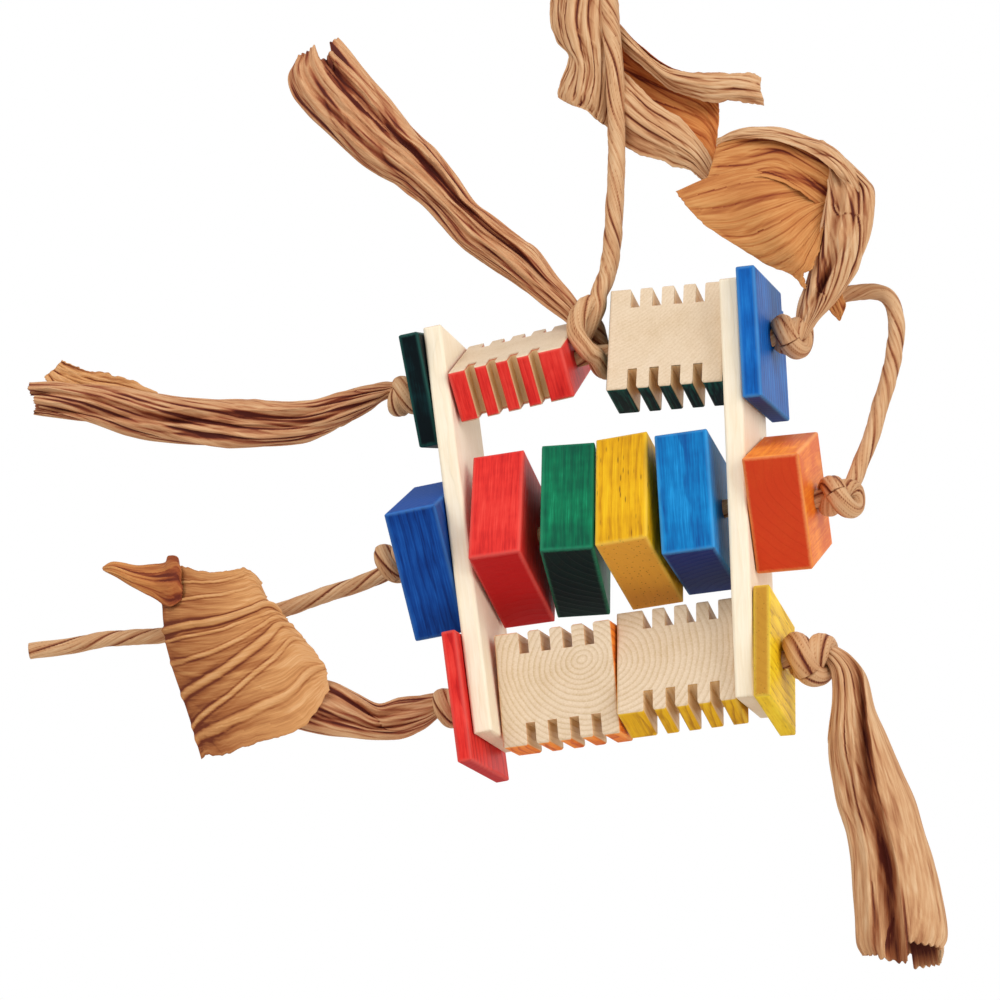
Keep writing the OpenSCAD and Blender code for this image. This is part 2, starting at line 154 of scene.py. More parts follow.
def pleats(p, v, seed, every, lean=0.72, length=40.0):
    """Folds side by side, one for each whole number that p passes, with every the number after
    which they repeat. Each rises over lean of its width and drops over the rest, so that one
    side is a flat facet and the other a sharp step, and fold k comes and goes along v as
    sin(v / length + 2.4 k). Gives the height, from -0.5 to 0.5, and the painted shade in its crease."""
    k = np.floor(p)
    f = p - k
    rise = np.where(f < lean, f / lean, (1 - f) / (1 - lean))
    k = np.mod(k, every)
    tall = 0.6 + 0.4 * np.sin(6.28 * v / length * (1 + 0.3 * np.sin(1.7 * k)) + 2.4 * k + seed)
    return (rise - 0.5) * tall, np.clip(1 - rise / 0.3, 0, 1) ** 1.5 * tall


def facets(u, v, seed, wide, tall, slant=0.4):
    """Crushed paper: flat facets that meet in straight, sharp creases. The corners of a slanted
    grid of triangles, about wide by tall mm, get random heights from -1 to 1, and the height runs
    evenly across each triangle between its corners'."""
    u = u + 0.25 * wide * np.sin(v / tall * 1.7 + seed)
    v = v + 0.25 * tall * np.sin(u / wide * 1.3 + 2 * seed)
    x, y = u / wide + slant * v / tall, v / tall - 0.35 * u / wide
    i, j = np.floor(x), np.floor(y)

    def corner(p, q):
        r = np.sin(p * 12.9898 + q * 78.233 + seed * 3.7) * 4375.85
        return 2 * (r - np.floor(r)) - 1

    a, b = x - i, y - j
    side = np.where(a > b, corner(i + 1, j), corner(i, j + 1))
    most, least = np.maximum(a, b), np.minimum(a, b)
    return corner(i, j) * (1 - most) + side * (most - least) + corner(i + 1, j + 1) * least


def dips(height, near, far, axis, closed):
    """The painted shade in the paper's folds, from 0 to 1: how far each point lies below the mean
    of the points to either side of it, near steps away for a painted dark line in the crease itself
    and far steps away for a painted shadow in a wide fold."""
    dark = 0
    for steps, gain in ((near, 2.0), (far, 0.5)):
        k = max(1, int(round(steps)))
        pad = [(0, 0), (0, 0)]
        pad[axis] = (k, k)
        wide = np.pad(height, pad, mode="wrap" if closed else "edge")
        cells = np.arange(height.shape[axis])
        dark = dark + gain * (0.5 * (np.take(wide, cells, axis) + np.take(wide, cells + 2 * k, axis)) - height)
    return np.clip(dark, -0.2, 0.8)


def mesh_piece(name, points, faces, uv, fold):
    """A finished mesh object in metres, riding on the bars, with its own UV map and fold shade.
    faces is a list of arrays, each of faces with the same number of corners."""
    corners = np.concatenate([f.ravel() for f in faces]).astype(np.int32)
    sizes = np.concatenate([np.full(len(f), f.shape[1], np.int32) for f in faces])
    mesh = bpy.data.meshes.new(name)
    mesh.vertices.add(len(points))
    mesh.vertices.foreach_set("co", (points * MM).astype(np.float32).ravel())
    mesh.loops.add(len(corners))
    mesh.loops.foreach_set("vertex_index", corners)
    mesh.polygons.add(len(sizes))
    mesh.polygons.foreach_set("loop_start", (np.cumsum(sizes) - sizes).astype(np.int32))
    mesh.polygons.foreach_set("loop_total", sizes)
    mesh.polygons.foreach_set("use_smooth", np.ones(len(sizes), bool))
    layer = mesh.uv_layers.new(name="paper")
    layer.data.foreach_set("uv", uv[corners].astype(np.float32).ravel())
    shade = mesh.attributes.new("fold", "FLOAT", "POINT")
    shade.data.foreach_set("value", fold.astype(np.float32).ravel())
    mesh.update()
    mesh.validate()
    obj = bpy.data.objects.new(name, mesh)
    bpy.context.scene.collection.objects.link(obj)
    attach(obj, "frame")
    return obj


def grid_faces(n, m, closed):
    """Quads of an n by m grid of points, joined round where it is closed."""
    i, j = np.meshgrid(np.arange(n - 1), np.arange(m if closed else m - 1), indexing="ij")
    k = (j + 1) % m
    return np.stack([i * m + j, i * m + k, (i + 1) * m + k, (i + 1) * m + j], -1).reshape(-1, 4)


def tube_piece(name, surface, fold, uv):
    """A closed tube from an n by m grid of points, with a fan over each end."""
    n, m = surface.shape[:2]
    points = np.concatenate([surface.reshape(-1, 3), surface[:1].mean(1), surface[-1:].mean(1)])
    j = np.arange(m)
    k = (j + 1) % m
    last = (n - 1) * m
    first_fan = np.stack([k, j, np.full(m, n * m)], 1)
    last_fan = np.stack([last + j, last + k, np.full(m, n * m + 1)], 1)
    uv = np.concatenate([uv.reshape(-1, 2), uv[0, :1], uv[-1, -1:]])
    # The middles of the two end fans are painted dark as shade
    fold = np.concatenate([fold.ravel(), [0.9, 0.9]])
    return mesh_piece(name, points, [grid_faces(n, m, True), first_fan, last_fan], uv, fold)


def around(line, across, up, radius, angle, wide=1.0, tall=1.0):
    """A tube's surface: at each place along the line and each angle, radius mm out."""
    sideways = np.cos(angle)[..., None] * across[:, None] * wide
    return line[:, None] + radius[..., None] * (sideways + np.sin(angle)[..., None] * up[:, None] * tall)


def crease_shade(folds, line_a, line_b):
    """The painted shade on a cord, from 0 to 1: most in its furrows, less in its wrinkles and dips."""
    return np.clip(0.95 * line_a + 0.55 * line_b + 0.3 * np.clip(-folds, 0, 1), 0, 1)


def twisted_cord(name, path, d, pitch=40, strands=3, flat=(0, 1, 0), seed=1):
    """Paper twisted into cord: a tube whose radius has a few helical furrows, sharp and of
    unlike depth, and fine wrinkles along the strands between them. Furrow k lies where the
    angle, plus one whole turn every pitch mm, passes k shares of a turn."""
    length = np.linalg.norm(np.diff(smooth(path, 300), axis=0), axis=1).sum()
    n = max(24, int(length / 0.6))
    line = even(path, n)
    along, across, up = frames(line, np.asarray(flat, float))
    s = np.linspace(0, length, n)[:, None]
    a = np.linspace(0, 2 * np.pi, 64, endpoint=False)[None, :]
    turn = a + 2 * np.pi * s / pitch + 0.6 * np.sin(s / 17 + seed) + 0.3 * np.sin(s / 7.3 + 2 * seed)
    folds, line_a = pleats(strands * turn / TURN, s, seed, strands, 0.8, 55)
    many = 3 * strands + 1
    small, line_b = pleats(many * turn / TURN + 0.4 * np.sin(s / 9 + seed), s, seed + 3, many, 0.6, 21)
    radius = d / 2 * (0.98 + 0.02 * np.sin(s / 11 + seed) + 0.15 * folds + 0.06 * small)
    uv = np.stack(np.broadcast_arrays(turn * d / 2, s), -1) / UV_MM
    return tube_piece(name, around(line, across, up, radius, a), crease_shade(folds, line_a, line_b), uv)


def gathered_paper(name, rows, count, depth, n=225, m=310, seed=3, twist=0.4, ragged=3.0, back=0.6, crush=0.62,
                   clefts=()):
    """Opened cord: a crushed, pleated tube between two edges that the rows give as picture
    points, each ax, ay, bx, by, depth. Its section is an ellipse with count sharp folds depth mm
    deep and finer wrinkles between them. clefts are valleys on the near side, each given by
    where it lies across at the start, the middle and the end, its width, and its depth in mm.
    The cut end is open, each fold's paper a little longer or shorter than the next."""
    r = smooth(rows, n)
    a_edge = seen(np.stack([r[:, 0], r[:, 1], r[:, 4]], 1))
    b_edge = seen(np.stack([r[:, 2], r[:, 3], r[:, 4]], 1))
    middle = (a_edge + b_edge) / 2
    half = np.linalg.norm(a_edge - b_edge, axis=1)[:, None] / 2
    across = unit(a_edge - b_edge)
    along = unit(np.gradient(middle, axis=0))
    near = unit(np.cross(across, along))
    near = near * np.sign(np.sum(near * (EYE - middle), axis=1))[:, None]
    s = np.concatenate([[0], np.cumsum(np.linalg.norm(np.diff(middle, axis=0), axis=1))])[:, None]
    t = s / s[-1]
    a = np.linspace(0, 2 * np.pi, m, endpoint=False)[None, :]
    # Round the flattened tube, which is a little under 2 pi times its half-width
    girth = half.mean() * 5.2
    lay = (a / TURN + twist * t) * girth
    bend = facets(lay, s, seed + 1, girth / 3, 70)
    bend = bend + (facets(lay - girth, s, seed + 1, girth / 3, 70) - bend) * a / TURN
    p = count * (a / TURN + twist * t) + 0.35 * bend + 0.4 * np.sin(2 * a + seed)
    main, _ = pleats(p, s, seed, count, 0.72, 60)
    q = 3 * count * (a / TURN + twist * t) + 0.8 * bend + 0.5 * np.sin(3 * a + seed)
    fine, _ = pleats(q, s, seed + 5, 3 * count, 0.62, 26)
    seam = np.minimum(1, 8 * np.minimum(a, TURN - a))
    crushed = 0.8 * facets(lay, s, seed + 7, 3.4, 24) + 0.4 * facets(lay, s, seed + 8, 1.5, 10)
    crushed = crushed + 0.9 * facets(lay, s, seed + 9, 4.6, 30, -1.6) + 1.1 * facets(lay, s, seed + 10, 8, 46, 1.1)
    x = np.cos(a) + 0 * t
    valley = np.zeros((n, m))
    for at0, at1, at2, wide, deep in clefts:
        centre = np.interp(t, [0, 0.5, 1], [at0, at1, at2]) + 0.05 * facets(s, s, seed, 9, 12)
        shape = np.clip(1 - np.abs(x - centre) / wide, 0, 1) ** 0.7 * (np.sin(a) > 0)
        valley += deep * shape * np.sin(np.pi * np.clip(t * 1.3, 0, 0.62))
    small = np.minimum(1, half / 6)
    inward = -small * (0.55 * depth * main + 0.16 * depth * fine + crush * crushed * seam)
    thin = back * half + 1.5 * (1 - t)
    width = np.maximum(half - inward, 0.3 * half)
    deep = np.maximum(thin - inward, 0.25 * thin)
    end = ragged * (0.6 * np.sin(2.4 * np.floor(p)) + 0.2 * (p - np.floor(p)) - 0.3 + 0.08 * np.sin(31 * a)) * t**9
    surface = (
        middle[:, None]
        + (width * np.cos(a))[..., None] * across[:, None]
        + (deep * np.sin(a) - np.minimum(valley, 1.2 * deep))[..., None] * near[:, None]
        + end[..., None] * along[:, None]
    )
    uv = np.stack(np.broadcast_arrays(lay, s), -1) / UV_MM
    step = girth / m
    # Painted shade: dark down the folds and in the clefts
    fold = np.clip(0.06 + dips(-inward, 0.6 / step, 2.6 / step, 1, True) + 0.13 * valley, 0, 1)
    # The paper turns in at the cut end and a short way back down the inside, painted darker the deeper it goes as
    # shade
    lip = surface[-1:]
    core = lip.mean(1, keepdims=True)
    for share, down, dark in ((0.07, 0.0, 0.35), (0.12, 4.0, 0.75), (0.3, 9.0, 1.0), (0.75, 14.0, 1.0)):
        surface = np.concatenate([surface, lip + (core - lip) * share - along[-1] * down])
        uv = np.concatenate([uv, uv[-1:]])
        fold = np.concatenate([fold, np.full((1, m), dark)])
    return tube_piece(name, surface, fold, uv), float(s[-1, 0])


def torn(run, seed):
    """How far a torn edge wanders at run mm along it, mostly from -1 to 1."""
    return facets(run, run, seed, 6, 9) + 0.3 * facets(run, run, seed + 2, 1.6, 2.5)


def paper_sheet(name, grid, pitch, depth, n=190, m=190, seed=5, ragged=1.0, shade=0.0, across=False, swell=1.0,
                crush=0.55, creases=(), slope=0.4):
    """An opened flap: a smooth surface through a grid of picture points with depths, folded
    every pitch mm along its rows or across them by depth mm, then finely wrinkled. creases are
    single sharp ridges, each given by where it starts and ends across the folds, as a share
    of their width, and by its height and width in mm. slope slants the fine wrinkles. shade
    is painted shade over the whole sheet, or the painted shade at its four corners, and below
    zero it is painted light; painted shade also runs down the folds."""
    g = seen(np.asarray(grid, float))
    g = smooth(g, n)
    g = smooth(g.transpose(1, 0, 2), m).transpose(1, 0, 2)
    dv, du = np.gradient(g, axis=0), np.gradient(g, axis=1)
    normal = unit(np.cross(du, dv))
    normal = normal * np.sign(np.sum(normal * (EYE - g), axis=2).mean())
    lu = np.linalg.norm(du, axis=2).sum(1).mean()
    lv = np.linalg.norm(dv, axis=2).sum(0).mean()
    u, v = np.linspace(0, 1, m)[None, :], np.linspace(0, 1, n)[:, None]
    lay, run, wide, tall = (v, u, lv, lu) if across else (u, v, lu, lv)
    x, y = lay * wide + 0 * run, run * tall + 0 * lay
    p = x / pitch + 0.45 * facets(x, y, seed, 2.5 * pitch, 40)
    main, _ = pleats(p, y, seed, 97, 0.7, 70)
    fine = facets(x, y, seed + 9, 0.9 * pitch, 5 * pitch, slope)
    fine = fine + 0.4 * facets(x, y, seed + 8, 0.35 * pitch, 2 * pitch, slope)
    fine = fine + 0.8 * facets(x, y, seed + 7, 1.3 * pitch, 6 * pitch, -1.5 * slope - 0.8)
    edge = np.minimum(lu * np.minimum(u, 1 - u), lv * np.minimum(v, 1 - v))
    rest = np.clip(0.3 + edge / 3.5, 0, 1)
    bulge = facets(x, y, seed + 4, 17, 24)
    height = (0.6 * depth * main + crush * fine) * rest + 0.5 * swell * bulge
    for start, finish, high, half in creases:
        away = (lay - start - (finish - start) * run) * wide + 1.2 * facets(x, y, seed + int(99 * start), 15, 15)
        height = height + high * np.clip(1 - np.abs(away) / half, 0, 1)
    # Painted shade, and painted light where it falls below zero, spread between the four corners
    painted_shade = np.broadcast_to(np.asarray(shade, float), 4)
    painted_shade = (painted_shade[0] * (1 - u) + painted_shade[1] * u) * (1 - v) + (painted_shade[2] * (1 - u) + painted_shade[3] * u) * v
    fold = painted_shade + dips(height, 0.6 * n / lv, 2.4 * n / lv, 0, False)
    fold = np.clip(fold + dips(height, 0.6 * m / lu, 2.4 * m / lu, 1, False), 0, 1)
    surface = g + normal * height[..., None]
    # The two sides and the far end are torn: each edge wanders ragged mm in and out
    surface += unit(du) * (ragged * torn(lv * v, seed) * (u**10 - (1 - u) ** 10))[..., None]
    surface += unit(dv) * (ragged * torn(lu * u, seed + 1) * v**10)[..., None]
    uv = np.stack([x, y], -1) / UV_MM
    obj = mesh_piece(name, surface.reshape(-1, 3), [grid_faces(n, m, False)], uv.reshape(-1, 2), fold)
    wall = obj.modifiers.new("paper", "SOLIDIFY")
    wall.thickness = PAPER_THICK * MM
    wall.offset = 0
    return obj, float(tall)


def wrapped_knot(name, centre, axis, size, reach, strand, turn, seed):
    """A tight knot: one strand laid twice round, so that its two turns lie side by side on one
    face and cross on the other. They run at radius r = size / 2 - strand / 2 + lift cos(t / 2)
    and at x = swing sin(t / 2) along the cord, for t from 0 to two whole turns."""
    axis = unit(np.asarray(axis, float))
    side = unit(np.cross(axis, (0, 1, 0)))
    up = np.cross(axis, side)
    centre = np.asarray(centre, float)
    t = np.linspace(0, 4 * np.pi, 60)
    r = size / 2 - strand / 2 - 0.2 + 0.16 * strand * np.cos(t / 2)
    x = (reach - strand) / 2 * np.sin(t / 2)
    a = t + turn
    path = centre + x[:, None] * axis + (r * np.cos(a))[:, None] * side + (r * np.sin(a))[:, None] * up
    n = 260
    line = even(path, n)
    along = unit(np.gradient(line, axis=0))
    out = unit(line - centre - ((line - centre) @ axis)[:, None] * axis)
    across = unit(np.cross(out, along))
    lift = np.cross(along, across)
    s = np.linspace(0, 1, n)[:, None] * np.linalg.norm(np.diff(line, axis=0), axis=1).sum()
    b = np.linspace(0, 2 * np.pi, 64, endpoint=False)[None, :]
    turns = b + 2 * np.pi * s / 60
    folds, line_a = pleats(4 * turns / TURN + 0.3 * np.sin(s / 7), s, seed, 4, 0.75, 40)
    small, line_b = pleats(11 * turns / TURN + 0.4 * np.sin(s / 5), s, seed + 1, 11, 0.6, 17)
    radius = strand / 2 * (0.98 + 0.12 * folds + 0.05 * small)
    # The strand is pressed a little flat against the knot
    surface = around(line, across, lift, radius, b, 1.12, 0.95)
    uv = np.stack(np.broadcast_arrays(turns * strand / 2, s), -1) / UV_MM
    return tube_piece(name, surface, crease_shade(folds, line_a, line_b), uv)


# ---------------------------------------------------------------- cords, knots and paper ends

# Diameter of the paper cord where it is tight, and of the ends that hang free
CORD = 6.5
FREE_CORD = 5.9
# The bars' middle lies this far left of the hook, and each bar leans in towards its foot
ASIDE = 16.0
LEAN = math.radians(2.988)
ROW_Z = {"top": -185.0, "middle": -244.905, "bottom": -300.809}
# From the bars' middle to the middle of each hole, and to the bar's inner face at that hole
HOLE_X = {"top": 53.51, "middle": 50.383, "bottom": 47.465}
INNER_X = {"top": 50.01, "middle": 46.88, "bottom": 43.96}
PEAK = np.array([-ASIDE, 0, -181.145])
TOP_KNOT = np.array([0, 0, -33.0])


def outside(side, row, out):
    """A place outside a bar: out mm from its middle along the hole, which leans with the bar."""
    x = side * (HOLE_X[row] + out * math.cos(LEAN)) - ASIDE
    return np.array([x, 0, ROW_Z[row] - out * math.sin(LEAN)])


KNOTS = {
    "top_left_knot": outside(-1, "top", 18.2),
    "top_right_knot": outside(1, "top", 17.7),
    "middle_left_knot": outside(-1, "middle", 29.7),
    "middle_right_knot": outside(1, "middle", 32.2),
    "bottom_left_knot": outside(-1, "bottom", 15.2),
    "bottom_right_knot": outside(1, "bottom", 19.2),
}


def row_cords():
    """The cords inside the rows, from knot to knot, with the top one drawn up to its peak."""
    for row, z in ROW_Z.items():
        # Taut cord lies a little above the middle of its hole
        level = z + 0.18
        inner = INNER_X[row]
        turns = [KNOTS[row + "_left_knot"], (-inner - ASIDE, 0, level),
                 (-ASIDE, 0, PEAK[2] if row == "top" else level),
                 (inner - ASIDE, 0, level), KNOTS[row + "_right_knot"]]
        q = np.asarray(turns, float)
        # Points close together keep the corners between the straight runs sharp
        steps = np.concatenate([np.linspace(q[i], q[i + 1], 12)[:-1] for i in range(4)] + [q[-1:]])
        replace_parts(twisted_cord(row + "_row_cord", steps, CORD - 0.1, seed=len(row)), row + "_cord")


def kraft_ends():
    """The cords outside the rows: the rope with its tie and loop, the neat ends and the knots."""
    rise = TOP_KNOT[2] - PEAK[2]
    rope_path = [*seen([(580, 344, -1), (584, 335, -2), (590, 323, -3), (597, 308, -3)]), PEAK + (3.8, -2.4, 21.5)]
    # From the tie to the top knot: the shares of the way across and of the way up
    shares = ((0.4, 0.19), (0.56, 0.25), (0.75, 0.38), (0.87, 0.49), (0.94, 0.59), (1, 0.73), (1, 0.87), (1, 1))
    rope_path += [PEAK + (ASIDE * x, 0, rise * z) for x, z in shares]
    rope = twisted_cord("hanging_rope", rope_path, CORD, pitch=52, strands=4, seed=4)
    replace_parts(rope, "hanging_cord")
    (even(rope_path, 40) * MM).tolist()
    loop_r = 13.25
    bend = np.radians(np.arange(-40, 221, 20))
    ring = [(loop_r * math.cos(a), 0, CORD / 2 - loop_r + loop_r * math.sin(a)) for a in bend]
    twisted_cord("hanging_loop", [(2, 0, -33)] + ring + [(-2, 0, -33)], CORD - 0.3, pitch=40, seed=6)
    for name, points, length, seed in (
        ("middle_cord_left_end", [
            (396, 567, 0), (381, 575, 1), (362, 583, 2), (343, 589, 2), (307, 601, 3), (278, 611, 4), (225, 623, 4),
            (164, 635, 4), (108, 639, 3), (64, 647, 2), (30, 651, 0),
        ], 0.139, 8),
        ("middle_cord_right_end", [
            (838, 497, 1), (851, 485, 3), (862, 460, 6), (872, 434, 8), (881, 403, 9), (890, 373, 10),
            (896, 338, 11), (895, 312, 12), (888, 297, 12), (876, 292, 12), (862, 292, 12), (845, 294, 12),
            (834, 300, 12),
        ], 0.1, 9),
    ):
        end = seen(points)
        cord = twisted_cord(name, end, FREE_CORD, pitch=46, seed=seed)
        (even(end, 40) * MM).tolist()
    for name, size, reach, strand, turn, axis in (
        ("top_left_knot", 14.5, 13, 6.6, 0.6, (1, 0, 0.05)),
        ("top_right_knot", 15.5, 14, 7.4, 2.2, (1, 0, -0.05)),
        ("middle_left_knot", 14.5, 13, 6.6, 2.9, (1, 0, 0.05)),
        ("middle_right_knot", 15, 16, 7.0, 1.5, (1, 0, -0.05)),
        ("bottom_left_knot", 14.5, 11, 6.2, 3.5, (1, 0, 0.05)),
        ("bottom_right_knot", 18.5, 18, 8.6, 2.5, (1, 0, -0.05)),
    ):
        wrapped_knot(name, KNOTS[name], axis, size, reach, strand, turn, seed=int(size * 2 + turn * 10))
    wrapped_knot("top_knot", TOP_KNOT, (0, 0, 1), 15.5, 13, 6.6, 1.0, seed=12)
    # The tie: one broad turn that comes out of the crumpled end, slants down across the front of
    # the top row's cord and over the rope's foot, and goes up again behind
    front = seen([(592, 303, -3), (584, 308, -6.5), (577.5, 318, -8.5), (576, 331, -9), (580, 341, -9),
                  (587, 350, -8), (595, 356, -5.5)])
    behind = np.array([
        (1.9, -1.5, -5.6), (2.2, 3.2, -5.2), (1.6, 6.0, -1), (0.4, 6.3, 5), (-0.6, 4.6, 11), (-1.4, 1.4, 15.5),
        (-1.6, -2, 17.6),
    ]) + PEAK
    tie = np.concatenate([front, behind])
    twisted_cord("tie_front_turn", tie, 7.0, pitch=60, flat=(1, 0.2, 0), seed=3, strands=4)
    tie = np.array([
        (-5.5, 0, 9), (-4.5, 4, 10.5), (-1.6, 5, 12.5), (0.4, 2.4, 14), (0, -1, 15.5), (-2, -2.6, 15.4),
        (-4.6, -2, 12.5), (-5.5, 0.5, 9.8),
    ]) + PEAK
    twisted_cord("tie_back_turn", tie, 4.6, pitch=50, flat=(0, 0.2, 1), seed=5, strands=4)


def opened_ends():
    """Makes the cords' opened paper ends, and gives each with the length it was cut to, in mm."""
    rows = [
        (407, 385, 401, 396, 0), (394, 384, 386, 399, 0), (379, 384, 370, 410, -1), (343, 391, 345, 425, -2),
        (313, 401, 322, 434, -2), (285, 403, 296, 441, -2), (250, 401, 252, 446, -2), (215, 398, 222, 446, -2),
        (180, 396, 192, 444, -1), (150, 393, 160, 440, 0), (122, 388, 127, 434, 0), (95, 385, 97, 425, 0),
        (60, 383, 66, 418, 0), (33, 384, 36, 413, 0),
    ]
    yield gathered_paper("top_left_paper", rows, 6, 2.6, seed=21, twist=0.5, ragged=3,
                         clefts=[(0.2, 0.1, -0.75, 0.3, 3.0), (-0.5, -0.2, 0.3, 0.18, 2.2)])
    lobe = [
        [(158, 394, 1), (160, 402, 1), (162, 412, 0)],
        [(140, 385, 3), (138, 396, 2), (138, 408, 0)],
        [(122, 377, 3), (114, 392, 3), (108, 405, 1)],
        [(104, 374, 3), (93, 388, 3), (80, 400, 1)],
        [(90, 370, 3), (76, 383, 3), (62, 394, 1)],
        [(75, 365, 3), (63, 377, 3), (50, 388, 1)],
        [(61, 360, 3), (53, 369, 3), (45, 378, 2)],
    ]
    yield paper_sheet("top_left_lobe", lobe, 3.4, 1.3, seed=22, shade=0.12, n=110, m=100)
    rows = [
        (798, 345, 806, 338, 0), (797, 330, 816, 322, 0), (800, 310, 832, 304, -1), (806, 288, 847, 282, -2),
        (813, 262, 858, 262, -3), (819, 238, 866, 244, -4), (824, 212, 873, 218, -4), (828, 190, 875, 192, -4),
        (826, 168, 866, 178, -5), (816, 150, 846, 160, -6), (806, 141, 822, 140, -7),
    ]
    yield gathered_paper("top_right_stalk", rows, 5, 3.2, seed=25, twist=0.55, ragged=0.5, n=170, m=260,
                         clefts=[(-0.2, 0.3, 0.5, 0.3, 2.6), (0.6, -0.3, -0.5, 0.25, 2.0)])
    # The fan's folds start close together at the stalk and spread to its scalloped edge
    lower = [
        [(828, 190, -2), (800, 176, -7), (755, 168, -9), (712, 176, -8), (676, 191, -7)],
        [(828, 194, -2), (800, 186, -8), (760, 188, -13), (720, 200, -10), (686, 207, -8)],
        [(828, 199, -2), (802, 199, -8), (770, 210, -13), (736, 222, -10), (704, 224, -8)],
        [(830, 200, -3), (806, 212, -9), (782, 230, -13), (756, 242, -10), (732, 243, -8)],
        [(828, 208, -3), (812, 226, -8), (794, 246, -12), (776, 258, -10), (762, 262, -8)],
        [(826, 216, -3), (816, 236, -7), (804, 258, -10), (796, 270, -9), (786, 274, -8)],
        [(824, 226, -6), (819, 244, -7), (812, 264, -8), (807, 277, -7), (803, 287, -6)],
    ]
    yield paper_sheet("top_right_fan", lower, 4.4, 0.9, seed=27, shade=(0.1, 0.05, -0.1, -0.1), across=True,
                      n=210, m=160, ragged=1.5, crush=0.3)
    upper = [
        [(844, 164, -7), (822, 149, -10), (782, 132, -9), (752, 130, -7), (719, 141, -5)],
        [(838, 178, -5), (814, 164, -9), (780, 146, -8), (750, 146, -6), (716, 153, -5)],
        [(830, 196, -3), (806, 178, -9), (776, 163, -9), (746, 166, -8), (712, 168, -6)],
        [(825, 212, -3), (800, 192, -9.5), (764, 177, -11.5), (736, 182, -10), (706, 184, -7)],
    ]
    yield paper_sheet("top_right_fan_inside", upper, 4.4, 1.0, seed=28, shade=(0.35, 0.15, 0.25, 0.0),
                      across=True, n=140, m=150, ragged=0.5)
    rim = [
        [(868, 206, -2), (860, 206, -4), (852, 206, -3)],
        [(862, 184, -6), (853, 184, -9), (845, 186, -8)],
        [(848, 162, -8), (842, 166, -12), (834, 172, -12)],
        [(830, 145, -8), (825, 151, -12), (818, 158, -12)],
        [(807, 135, -8), (804, 141, -12), (799, 148, -12)],
        [(780, 127, -7), (778, 133, -11), (775, 140, -11)],
        [(752, 127, -6), (751, 132, -9), (749, 138, -9)],
        [(733, 131, -5), (732, 135, -7), (730, 140, -7)],
        [(717, 139, -4), (717, 142, -5), (716, 146, -5)],
    ]
    yield paper_sheet("top_right_fan_rim", rim, 2.6, 0.7, seed=29, shade=0.0, n=150, m=90, ragged=0.4)
    flap = [
        [(818, 296, 2), (826, 294, 2), (836, 288, 3)],
        [(824, 303, 3), (834, 303, 3), (842, 295, 3)],
        [(830, 311, 3), (838, 313, 4), (845, 301, 4)],
        [(837, 318, 3), (841, 321, 4), (845, 308, 4)],
    ]
    yield paper_sheet("top_right_small_flap", flap, 2.2, 0.6, seed=30, shade=0.1, n=60, m=60)
    rows = [
        (446, 692, 446, 708, 0), (436, 694, 438, 716, 0), (420, 696, 424, 727, -1), (400, 699, 402, 737, -2),
        (379, 705, 378, 738, -3), (358, 694, 352, 736, -5), (338, 684, 325, 733, -7), (315, 676, 300, 728, -9),
        (300, 670, 280, 722, -10.5), (284, 662, 260, 712, -12), (264, 655, 244, 690, -13.5),
        (250, 650, 240, 668, -15),
    ]
    yield gathered_paper("bottom_left_bundle", rows, 5, 2.3, seed=31, twist=0.35, ragged=0.5, n=150, m=240,
                         clefts=[(0.1, 0.35, 0.5, 0.3, 2.6), (-0.5, -0.45, -0.2, 0.22, 2.2)])
    flap = [
        [(165, 562, -15), (161, 602, -16), (167, 640, -17), (179, 690, -18), (200, 758, -17)],
        [(176, 566, -18), (178, 602, -20), (184, 640, -21), (198, 688, -21), (213, 755, -19)],
        [(192, 570, -19), (202, 602, -22), (210, 638, -23), (224, 684, -23), (233, 749, -20)],
        [(213, 572, -19), (226, 601, -22), (236, 632, -23), (250, 676, -23), (262, 741, -19)],
        [(236, 570, -18), (246, 597, -20), (260, 624, -21), (278, 666, -21), (291, 732, -17)],
        [(250, 570, -17), (260, 592, -18), (276, 620, -19), (299, 652, -18), (317, 712, -15)],
        [(260, 580, -15), (268, 602, -16), (290, 626, -16), (318, 656, -15), (331, 692, -13)],
    ]
    creases = [
        (0.12, 0.04, 0.4, 0.9), (0.25, 0.16, 0.5, 1.0), (0.44, 0.36, 1.5, 2.0), (0.5, 0.41, 0.4, 0.8),
        (0.62, 0.46, 0.5, 1.0), (0.78, 0.5, 0.8, 1.6), (0.9, 0.62, 0.5, 1.0), (0.94, 0.84, 0.7, 1.4),
    ]
    yield paper_sheet("bottom_left_flap", flap, 8, 0.2, seed=33, n=205, m=205,
                      shade=(0.5, 0.55, -0.12, -0.1), swell=2.4, crush=0.2, ragged=1.3, slope=-1.3,
                      creases=creases)
    curl = [
        [(103, 567, -13), (103, 569, -14), (105, 571, -14)],
        [(114, 562, -13), (114, 569, -16), (117, 577, -15)],
        [(137, 565, -13), (134, 576, -17), (136, 589, -16)],
        [(154, 564, -13), (152, 579, -18), (154, 598, -17)],
        [(165, 562, -13), (162, 578, -20), (164, 605, -18)],
        [(168, 556, -15), (170, 576, -22), (170, 606, -20)],
        [(178, 557, -17), (178, 574, -22), (176, 604, -21)],
        [(181, 571, -18), (182, 584, -22), (182, 600, -21)],
    ]
    yield paper_sheet("bottom_left_curl", curl, 4.5, 0.8, seed=35, n=150, m=120, shade=(0.1, 0.1, 0.5, 0.7),
                      ragged=0.3)
    rows = [
        (808, 650, 818, 640, 0), (814, 654, 838, 648, 0), (826, 662, 852, 658, 0), (832, 675, 865, 676, 0),
        (832, 699, 874, 709, 0), (829, 724, 884, 731, 0), (828, 749, 893, 751, 0), (832, 777, 904, 776, 0),
        (837, 804, 915, 801, 0), (846, 832, 925, 834, 0), (851, 862, 934, 862, 0), (853, 890, 941, 890, 0),
        (855, 918, 946, 918, 0), (857, 945, 948, 945, 0), (863, 958, 944, 960, 0),
    ]
